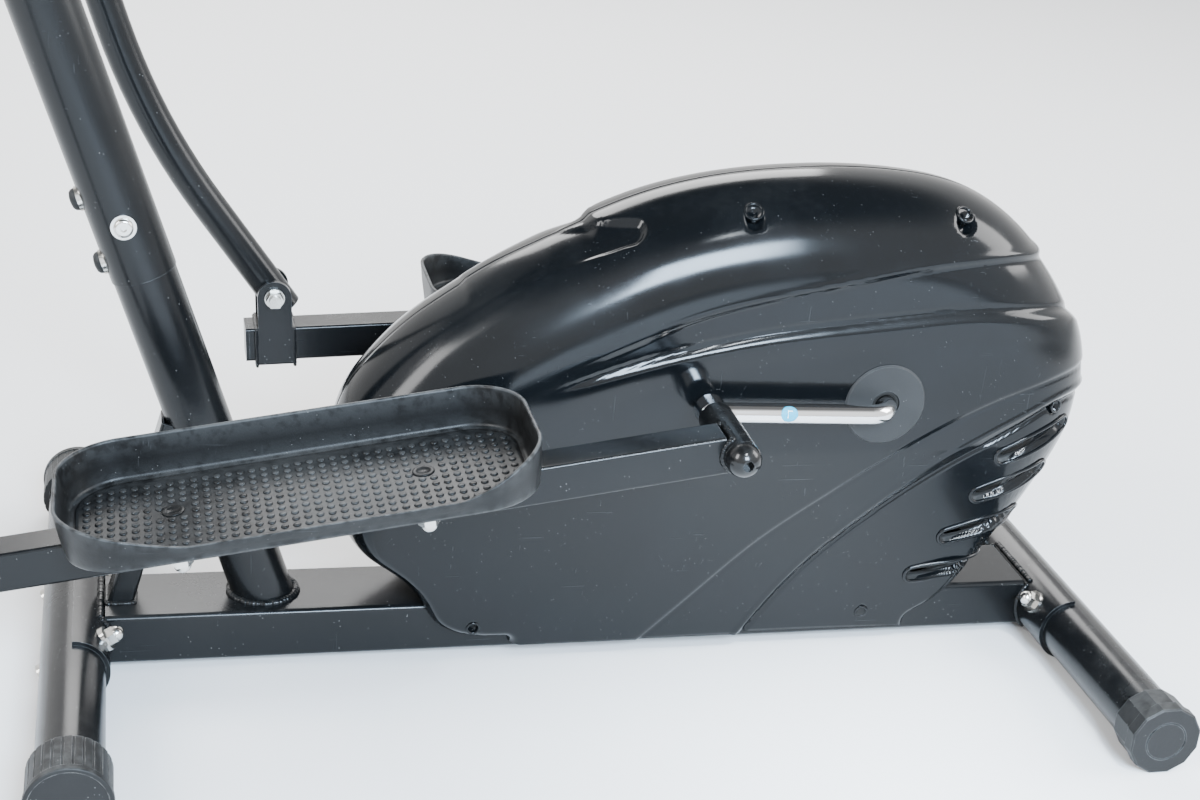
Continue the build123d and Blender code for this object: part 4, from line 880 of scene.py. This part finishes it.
def foot_tray(side, way):
    points, faces, wear, plan_data = tray_body(way)
    parts = [(points, faces)]
    wear = list(wear)
    for x, y in pip_places(plan_data):
        parts.append(pip(x, way * y, TRAY_TOP))
        from_middle = math.hypot((x - TRAY_MIDDLE_X) / 120, (y - ARM_Y) / 55)
        trodden = 0.25 + 0.6 * math.exp(-from_middle**2)
        for rubbed in (0.0, 0.2 * trodden, trodden, trodden):
            wear += [rubbed] * PIP_SIDES
    for end in (-1, 1):
        rib_y = way * (ARM_Y + end * 12)
        rib = block_points(TRAY_FAR + 24, TRAY_NEAR - 24, rib_y - 2, rib_y + 2, ARM_HALF,
                           TRAY_UNDER + 0.2)
        parts.append(rib)
        wear += [0.0] * len(rib[0])
    points, faces = join(parts)
    made = piece(f"tray_{side}", on_arm(side, points), faces, f"pedal_{side}", "tray_black")
    worn(made, wear)
    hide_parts(f"foot_tray_{side}")
    for number, bolt in enumerate(TRAY_BOLTS):
        bolt_cover(f"bolt_cover_{number}_{side}", side, way, bolt)


def bolt_cover(name, side, way, bolt):
    """Plastic plug over a tray bolt, with a hexagonal dip."""
    origin = on_arm(side, [(bolt, way * ARM_Y, TRAY_TOP)])[0]
    up = arm_frame(side)[2]
    profile = [(8.2, 0.1), (8.2, 0.7), (7.7, 1.1), (6.4, 1.2), (5.5, 0.9), (5.1, 0.35), (0.05, 0.3)]
    points, faces = lathe(profile, origin, up, COVER_SIDES)
    _, across, onward = axes_for(up)
    for ring, reach in ((4, 5.3), (5, 4.9)):
        for j in range(COVER_SIDES):
            angle = 2 * math.pi * j / COVER_SIDES
            six = reach * math.cos(math.pi / 6) / math.cos((angle % (math.pi / 3)) - math.pi / 6)
            spot = origin + six * (math.cos(angle) * across + math.sin(angle) * onward)
            points[ring * COVER_SIDES + j] = spot + up * profile[ring][1]
    piece(name, points, faces, f"pedal_{side}", "tray_black")


def block_points(x_a, x_b, y_a, y_b, z_a, z_b):
    """Plain bar between two corners."""
    points = [(x, y, z) for z in (z_a, z_b) for y in (y_a, y_b) for x in (x_a, x_b)]
    faces = [(0, 2, 3, 1), (4, 5, 7, 6), (0, 1, 5, 4), (2, 6, 7, 3), (0, 4, 6, 2), (1, 3, 7, 5)]
    return points, faces


# ---- weld beads and the post's plastic

UPRIGHT_FOOT_X, UPRIGHT_LEAN = 150.1, math.radians(18.45)
JOINT_Z, POST_R, SPIGOT_BORE = 329.0, 25.2, 20.1
FRONT_BOLTS = (17.0, 69.0)
FRONT_Z = local(middle("transport_wheel_left"))[2]
REAR_X, REAR_Z = 840.0, local(middle("level_cap_left"))[2]
SADDLE_R, BUSH_R, CROSS_TUBE_R = 28.5, 13.7, 15
_, BEAM_HALF, BEAM_TOP = local(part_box("main_beam")[1])
BORE_MATCH, RIM_RUN = 0.4, 30
RIPPLE_STEP, BEAD_POINTS = 0.9, 60
LUMPS = 40


def bead(name, path, radius, body, closed=True, seed=1):
    """Weld bead: overlapping ripples along a path."""
    random = np.random.default_rng(seed)
    path = np.array(path, float)
    loop = np.vstack([path, path[:1]]) if closed else path
    run = np.concatenate([[0], np.cumsum(np.linalg.norm(np.diff(loop, axis=0), axis=1))])
    count = max(12, int(run[-1] / RIPPLE_STEP))
    at = np.linspace(0, run[-1], count, endpoint=not closed)
    line = np.stack([np.interp(at, run, loop[:, k]) for k in range(3)], axis=1)
    lump = np.interp(at, np.linspace(0, run[-1], LUMPS), random.uniform(0.85, 1.2, LUMPS))
    ripple = 0.86 + 0.2 * np.abs(np.sin(at * math.pi / 3.1))
    radii = radius * lump * ripple
    if not closed:
        radii[0] *= 0.5
        radii[-1] *= 0.5
    line += random.normal(0, radius * 0.04, line.shape)
    points, faces = swept(line, radii, closed)
    piece(name, points, faces, body, "frame_black")


def post_welds():
    """Beads round the upright's stub and its brace, on the beam."""
    stub_radius = local(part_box("upright_stub")[1])[1]
    reach = stub_radius / math.cos(UPRIGHT_LEAN) + 1
    bead("weld_stub", circle((UPRIGHT_FOOT_X, 0, BEAM_TOP + 0.6), (reach, 0, 0), (0, stub_radius + 1, 0),
                             BEAD_POINTS), 3.4, "frame", seed=2)
    brace_low, brace_high = (local(corner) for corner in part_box("upright_brace"))
    x_a, x_b, wide = brace_low[0] - 0.4, brace_low[0] + 21.2, brace_high[1] + 0.4
    corners = [(x_a, -wide, BEAM_TOP), (x_b, -wide, BEAM_TOP), (x_b, wide, BEAM_TOP), (x_a, wide, BEAM_TOP)]
    bead("weld_brace", corners, 2.4, "frame", seed=3)


def saddle_welds():
    """Beads where each saddle meets the end of the beam."""
    for number, (node_x, towards, axis_z) in enumerate(((0.0, 1, FRONT_Z), (REAR_X, -1, REAR_Z))):
        for side, way in SIDES.items():
            path = []
            for angle in np.radians(np.linspace(44, -52, 24)):
                path.append((node_x + towards * SADDLE_R * math.cos(angle), way * (BEAM_HALF + 0.4),
                             axis_z + SADDLE_R * math.sin(angle)))
            bead(f"weld_saddle_{number}_{side}", path, 2.6, "frame", closed=False,
                 seed=5 + number * 2 + way)
        rise = math.asin(min(1.0, (BEAM_TOP - axis_z) / SADDLE_R))
        edge_x = node_x + towards * SADDLE_R * math.cos(rise)
        line = [(edge_x, y, BEAM_TOP + 0.3) for y in np.linspace(-BEAM_HALF, BEAM_HALF, 12)]
        bead(f"weld_saddle_top_{number}", line, 2.4, "frame", closed=False, seed=9 + number)


def cross_tube_welds():
    """Beads where the cross tube goes through the post."""
    swing = joint_place("swing_left")
    for side, way in SIDES.items():
        path = circle((swing[0], way * 20.0, swing[2]), (CROSS_TUBE_R, 0, 0), (0, 0, CROSS_TUBE_R),
                      BEAD_POINTS)
        path[:, 1] = way * np.sqrt(np.maximum(POST_R**2 - (path[:, 0] - swing[0])**2, 0))
        bead(f"weld_cross_tube_{side}", path, 2.2, "frame", seed=12 + way)


def post_axis():
    """Foot of the post's axis, with its upward and its forward ways."""
    joint_x = UPRIGHT_FOOT_X - math.tan(UPRIGHT_LEAN) * (JOINT_Z - BEAM_TOP)
    sine, cosine = math.sin(UPRIGHT_LEAN), math.cos(UPRIGHT_LEAN)
    return np.array([joint_x, 0, JOINT_Z]), np.array([-sine, 0, cosine]), np.array([-cosine, 0, -sine])


def post_plug():
    """Plastic cap just inside the slanted open end of the console's spigot."""
    foot, up, _ = post_axis()
    points = node_points("console_bracket")
    along = (points - foot) @ up
    away = np.linalg.norm(points - foot - np.outer(along, up), axis=1)
    bore = np.abs(away - SPIGOT_BORE) < BORE_MATCH
    rim = points[bore & (along > along[bore].min() + RIM_RUN)]
    centre = rim.mean(0)
    _, _, ways = np.linalg.svd(rim - centre, full_matrices=False)
    out = ways[2] * np.sign(ways[2] @ up)
    angle = np.arctan2((rim - centre) @ ways[1], (rim - centre) @ ways[0])
    _, order = np.unique(np.round(angle, 2), return_index=True)
    outline = rim[order] - centre
    loops = [centre + outline * scale - out * depth
             for scale, depth in ((0.985, 5.0), (0.985, 2.2), (0.94, 1.6), (0.8, 1.4))]
    count = len(outline)
    faces = grid_faces(len(loops), count, wrap=True)
    faces += [cap(0, count), cap(len(loops) - 1, count)]
    piece("post_plug", np.vstack(loops), faces, "frame", "cap_black")


def post_bolt_covers():
    """Dark plastic domes over the two bolts on the front of the post."""
    foot, up, front = post_axis()
    for number, rise in enumerate(FRONT_BOLTS):
        centre = foot + up * rise + front * POST_R
        profile = [(0.05, 0.2), (8.6, 0.2), (8.6, 2.2), (8.0, 4.6), (6.4, 6.2), (3.4, 7.0), (0.05, 7.2)]
        turned(f"post_bolt_cover_{number}", profile, centre, front, COVER_SIDES, "frame", "cap_black")


def pedal_welds(side, way):
    """Beads where the pin bush and the clevis meet the arm."""
    path = []
    for start, end, face in ((110, 250, ARM_HALF), (250, 110, -ARM_HALF)):
        for angle in np.radians(np.linspace(start, end, 16)):
            path.append((BUSH_R * math.cos(angle), way * (ARM_Y + face), BUSH_R * math.sin(angle)))
    bead(f"weld_bush_{side}", on_arm(side, path), 2.5, f"pedal_{side}", seed=20 + way)
    for number, x in enumerate((-ARM_REACH - 16, -ARM_REACH + 16)):
        reach = ARM_HALF + 3.4
        corners = [(x, way * ARM_Y - reach, -reach), (x, way * ARM_Y + reach, -reach),
                   (x, way * ARM_Y + reach, ARM_HALF), (x, way * ARM_Y - reach, ARM_HALF)]
        bead(f"weld_clevis_{number}_{side}", on_arm(side, corners), 1.5, f"pedal_{side}",
             seed=24 + number + way)


# ---- grips and handlebar bolts

HAND_GRIP_R, HAND_GRIP_BORE = 20.0, 16.2
FIXED_GRIP_R, FIXED_GRIP_BORE = 17.0, 12.7
SLEEVE_BOLTS, SLEEVE_R = (57.0, 75.0), 15.6
LINK_LENGTH, LINK_BACK_AT_FOOT, LINK_BACK_AT_PIVOT = 387.3, -27.5, 30.5


def long_axis(points):
    """Both ends of the line through a long round body, and its upward way."""
    _, _, ways = np.linalg.svd(points - points.mean(0), full_matrices=False)
    way = ways[0] * (1 if ways[0][2] > 0 else -1)
    run = (points - points.mean(0)) @ way
    return points.mean(0) + way * run.min(), points.mean(0) + way * run.max(), way


def node_points(node):
    made = frame["nodes"][node]
    return np.array([local(vertex.co) for vertex in made.data.vertices])


def foam_grip(name, points, radius, inner, body):
    """Foam sleeve with a soft collar, faint finger waves and a rounded end."""
    start, end, way = long_axis(points)
    length = np.linalg.norm(end - start)
    profile = [(inner, 0.5), (inner + 1.2, 0.0), (radius - 0.8, 0.2), (radius, 1.6), (radius, 5.5),
               (radius - 0.9, 7.5)]
    for at in np.linspace(10, length - 16, 30):
        profile.append((radius - 1.1 + 0.22 * math.sin(at / 8.5), at))
    profile += [(radius - 0.9, length - 14), (radius - 0.2, length - 11), (radius - 0.1, length - 7)]
    for angle in np.linspace(0.2, math.pi / 2, 7):
        profile.append((max(0.6, (radius - 0.3) * math.cos(angle)), length - 7 + 6.8 * math.sin(angle)))
    made = turned(name, profile, start, way, 56, body, "foam")
    return made


def build_grips():
    for side in SIDES:
        made = foam_grip(f"foam_grip_{side}", node_points(f"hand_grip_{side}"), HAND_GRIP_R,
                         HAND_GRIP_BORE, f"swing_{side}")
        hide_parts(f"hand_grip_{side}")
    both = node_points("fixed_grips")
    for side, way in SIDES.items():
        made = foam_grip(f"fixed_foam_{side}", both[both[:, 1] * way > 0], FIXED_GRIP_R, FIXED_GRIP_BORE,
                         "frame")
        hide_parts("fixed_grips")


def handlebar_bolts(side, way):
    """Two button-head bolts through the handlebar's sleeve into the swing link."""
    hub, foot = joint_place(f"swing_{side}"), joint_place(f"pedal_{side}")
    down = foot - hub
    down[1] = 0
    down = unit(down)
    rear = np.array([-down[2], 0, down[0]])
    if rear[0] < 0:
        rear = -rear
    for number, along in enumerate(SLEEVE_BOLTS):
        centre = hub - down * along + rear * link_offset(along)
        centre[1] = way * (ARM_Y + SLEEVE_R)
        profile = [(0.05, -3), (5.4, -3), (5.4, 0.4), (5.0, 1.6), (3.8, 2.6), (2.0, 3.0), (1.9, 1.4),
                   (0.05, 1.3)]
        turned(f"sleeve_bolt_{number}_{side}", profile, centre, (0, way, 0), 28, f"swing_{side}",
               "fastener")


def link_offset(along):
    """How far behind the pivot line the straight part of the swing link runs."""
    slope = (LINK_BACK_AT_PIVOT - LINK_BACK_AT_FOOT) / LINK_LENGTH
    return LINK_BACK_AT_FOOT + slope * (along + LINK_LENGTH)


# ---- sticker

STICKER_THICK = 0.25
BAR_Y, DISC_LEVEL, MARK_LEVEL = -95.0, 8.2, 8.35
TOWARDS_PIN = 15.0


def wrapped(name, rings, centre, along, facing, radius, material):
    """Thin patch that follows the crank's round bar. Each ring is a list of (along, around) places."""
    way = unit(np.array(along, float))
    out = unit(np.array(facing, float) - way * np.dot(facing, way))
    side = np.cross(way, out)
    rows, count = len(rings), len(rings[0])
    points = []
    for level in (radius, radius - STICKER_THICK):
        for a, b in (place for ring in rings for place in ring):
            round_bar = math.cos(b / radius) * out + math.sin(b / radius) * side
            points.append(np.array(centre) + way * a + level * round_bar)
    under = rows * count
    faces = grid_faces(rows, count, wrap=True)
    faces += grid_faces(rows, count, wrap=True, first=under, flip=True)
    faces += [cap(0, count)[::-1], cap(rows, count)]
    edge = cap(rows - 1, count)
    for j in range(count):
        k = (j + 1) % count
        faces.append((edge[j], edge[k], under + edge[k], under + edge[j]))
    piece(name, points, faces, "crank", "chrome", material)


def build_sticker():
    """Round blue sticker with a plain mark, near the middle of the left crank arm."""
    pin = local(middle("pedal_pin_left"))
    along = np.array([CRANK[0] - pin[0], 0, CRANK[2] - pin[2]])
    centre = (CRANK + pin) / 2 - TOWARDS_PIN * unit(along)
    centre[1] = BAR_Y
    facing = (0, -1.0, 0.35)
    rings = []
    for radius in (0.4, 2.5, 4.5, 6.2, 7.0):
        rings.append([(radius * math.cos(t), radius * math.sin(t))
                      for t in np.linspace(0, 2 * math.pi, 32, endpoint=False)])
    wrapped("sticker_disc", rings, centre, along, facing, DISC_LEVEL, STICKER_BLUE)
    marks = {"sticker_mark_tall": (-1.2, 0.0, 0.5, 3.4), "sticker_mark_foot": (0.6, -2.6, 2.0, 0.5)}
    for name, (a, b, reach_a, reach_b) in marks.items():
        rings = []
        for scale in (0.2, 0.6, 1.0):
            rings.append([(a + scale * reach_a * x, b + scale * reach_b * y)
                          for x, y in ((1, 1), (-1, 1), (-1, -1), (1, -1))])
        wrapped(name, rings, centre, along, facing, MARK_LEVEL, STICKER_WHITE)


# ---- floor, light and camera

CAMERA_PLACE = (-0.26767, -1.42256, 0.84728)
CAMERA_YAW, CAMERA_PITCH, CAMERA_ROLL = 15.0, 23.16, 5.18
CAMERA_LENS = 58.4


def build_floor():
    bpy.ops.mesh.primitive_circle_add(vertices=128, radius=14, fill_type="NGON", location=(0, 0, -0.0006))
    floor = bpy.context.object
    floor.name = "floor"
    material = bpy.data.materials.new("pale_floor")
    material.use_nodes = True
    tree = material.node_tree
    shader = tree.nodes["Principled BSDF"]
    place = add(tree, "ShaderNodeTexCoord").outputs["Object"]
    tone = fit(tree, noise(tree, place, 0.6, 2.0), 0.3, 0.7)
    colour = blend_colour(tree, tone, (0.90, 0.90, 0.90, 1), (0.92, 0.92, 0.92, 1))
    tree.links.new(colour, shader.inputs["Base Color"])
    shader.inputs["Roughness"].default_value = 0.75
    floor.data.materials.append(material)


def lamp(name, kind, place, target, power, colour):
    """New light aimed at a target."""
    light = bpy.data.lights.new(name, kind)
    light.energy = power
    light.color = colour
    made = bpy.data.objects.new(name, light)
    bpy.context.scene.collection.objects.link(made)
    made.location = place
    made.rotation_euler = (Vector(target) - Vector(place)).to_track_quat("-Z", "Y").to_euler()
    return light


def softbox(name, place, target, width, height, power, colour=(1, 1, 1)):
    light = lamp(name, "AREA", place, target, power, colour)
    light.shape = "RECTANGLE"
    light.size, light.size_y = width, height


def spot(name, place, target, power, cone, colour):
    light = lamp(name, "SPOT", place, target, power, colour)
    light.spot_size = math.radians(cone)
    light.spot_blend = 1.0
    light.shadow_soft_size = 0.25


def build_light():
    world = bpy.data.worlds.new("studio")
    bpy.context.scene.world = world
    world.use_nodes = True
    tree = world.node_tree
    place = add(tree, "ShaderNodeTexCoord").outputs["Generated"]
    height = add(tree, "ShaderNodeSeparateXYZ", None, Vector=place).outputs[2]
    dim = fit(tree, height, 0.62, 0.9)
    colour = blend_colour(tree, dim, (1.0, 1.0, 1.0, 1), (0.12, 0.12, 0.12, 1))
    tree.links.new(colour, tree.nodes["Background"].inputs["Color"])
    tree.nodes["Background"].inputs["Strength"].default_value = 1.9
    softbox("key_softbox", (0.35, -2.6, 1.75), (0.1, 0, 0.35), 1.1, 0.8, 300, (0.62, 0.80, 1.0))
    spot("floor_pool", (0.36, -1.3, 1.7), (0.31, -0.30, 0.0), 600, 17, (0.85, 0.93, 1.0))
    softbox("left_softbox", (-2.6, -1.2, 2.0), (0, 0, 0.4), 1.0, 1.6, 95)
    softbox("right_softbox", (2.8, -0.4, 1.8), (0.3, 0, 0.3), 1.2, 1.6, 85)
    softbox("rear_softbox", (0.2, 2.8, 2.4), (0, 0, 0.5), 2.4, 1.2, 110)


def build_camera():
    yaw, pitch, roll = (math.radians(v) for v in (CAMERA_YAW, CAMERA_PITCH, CAMERA_ROLL))
    forward = Vector((math.sin(yaw) * math.cos(pitch), math.cos(yaw) * math.cos(pitch), -math.sin(pitch)))
    level = Vector((math.cos(yaw), -math.sin(yaw), 0))
    upright = level.cross(forward)
    right = math.cos(roll) * level + math.sin(roll) * upright
    up = -math.sin(roll) * level + math.cos(roll) * upright
    data = bpy.data.cameras.new("camera")
    data.lens = CAMERA_LENS
    data.sensor_width = 36
    made = bpy.data.objects.new("camera", data)
    bpy.context.scene.collection.objects.link(made)
    turn = Matrix((right, up, -forward)).transposed().to_4x4()
    made.matrix_world = Matrix.Translation(CAMERA_PLACE) @ turn
    bpy.context.scene.camera = made


# ---- everything

build_housing()
for side, way in SIDES.items():
    foot_tray(side, way)
    pedal_welds(side, way)
    handlebar_bolts(side, way)
post_welds()
saddle_welds()
cross_tube_welds()
post_bolt_covers()
post_plug()
build_grips()
build_sticker()
build_floor()
build_light()
build_camera()
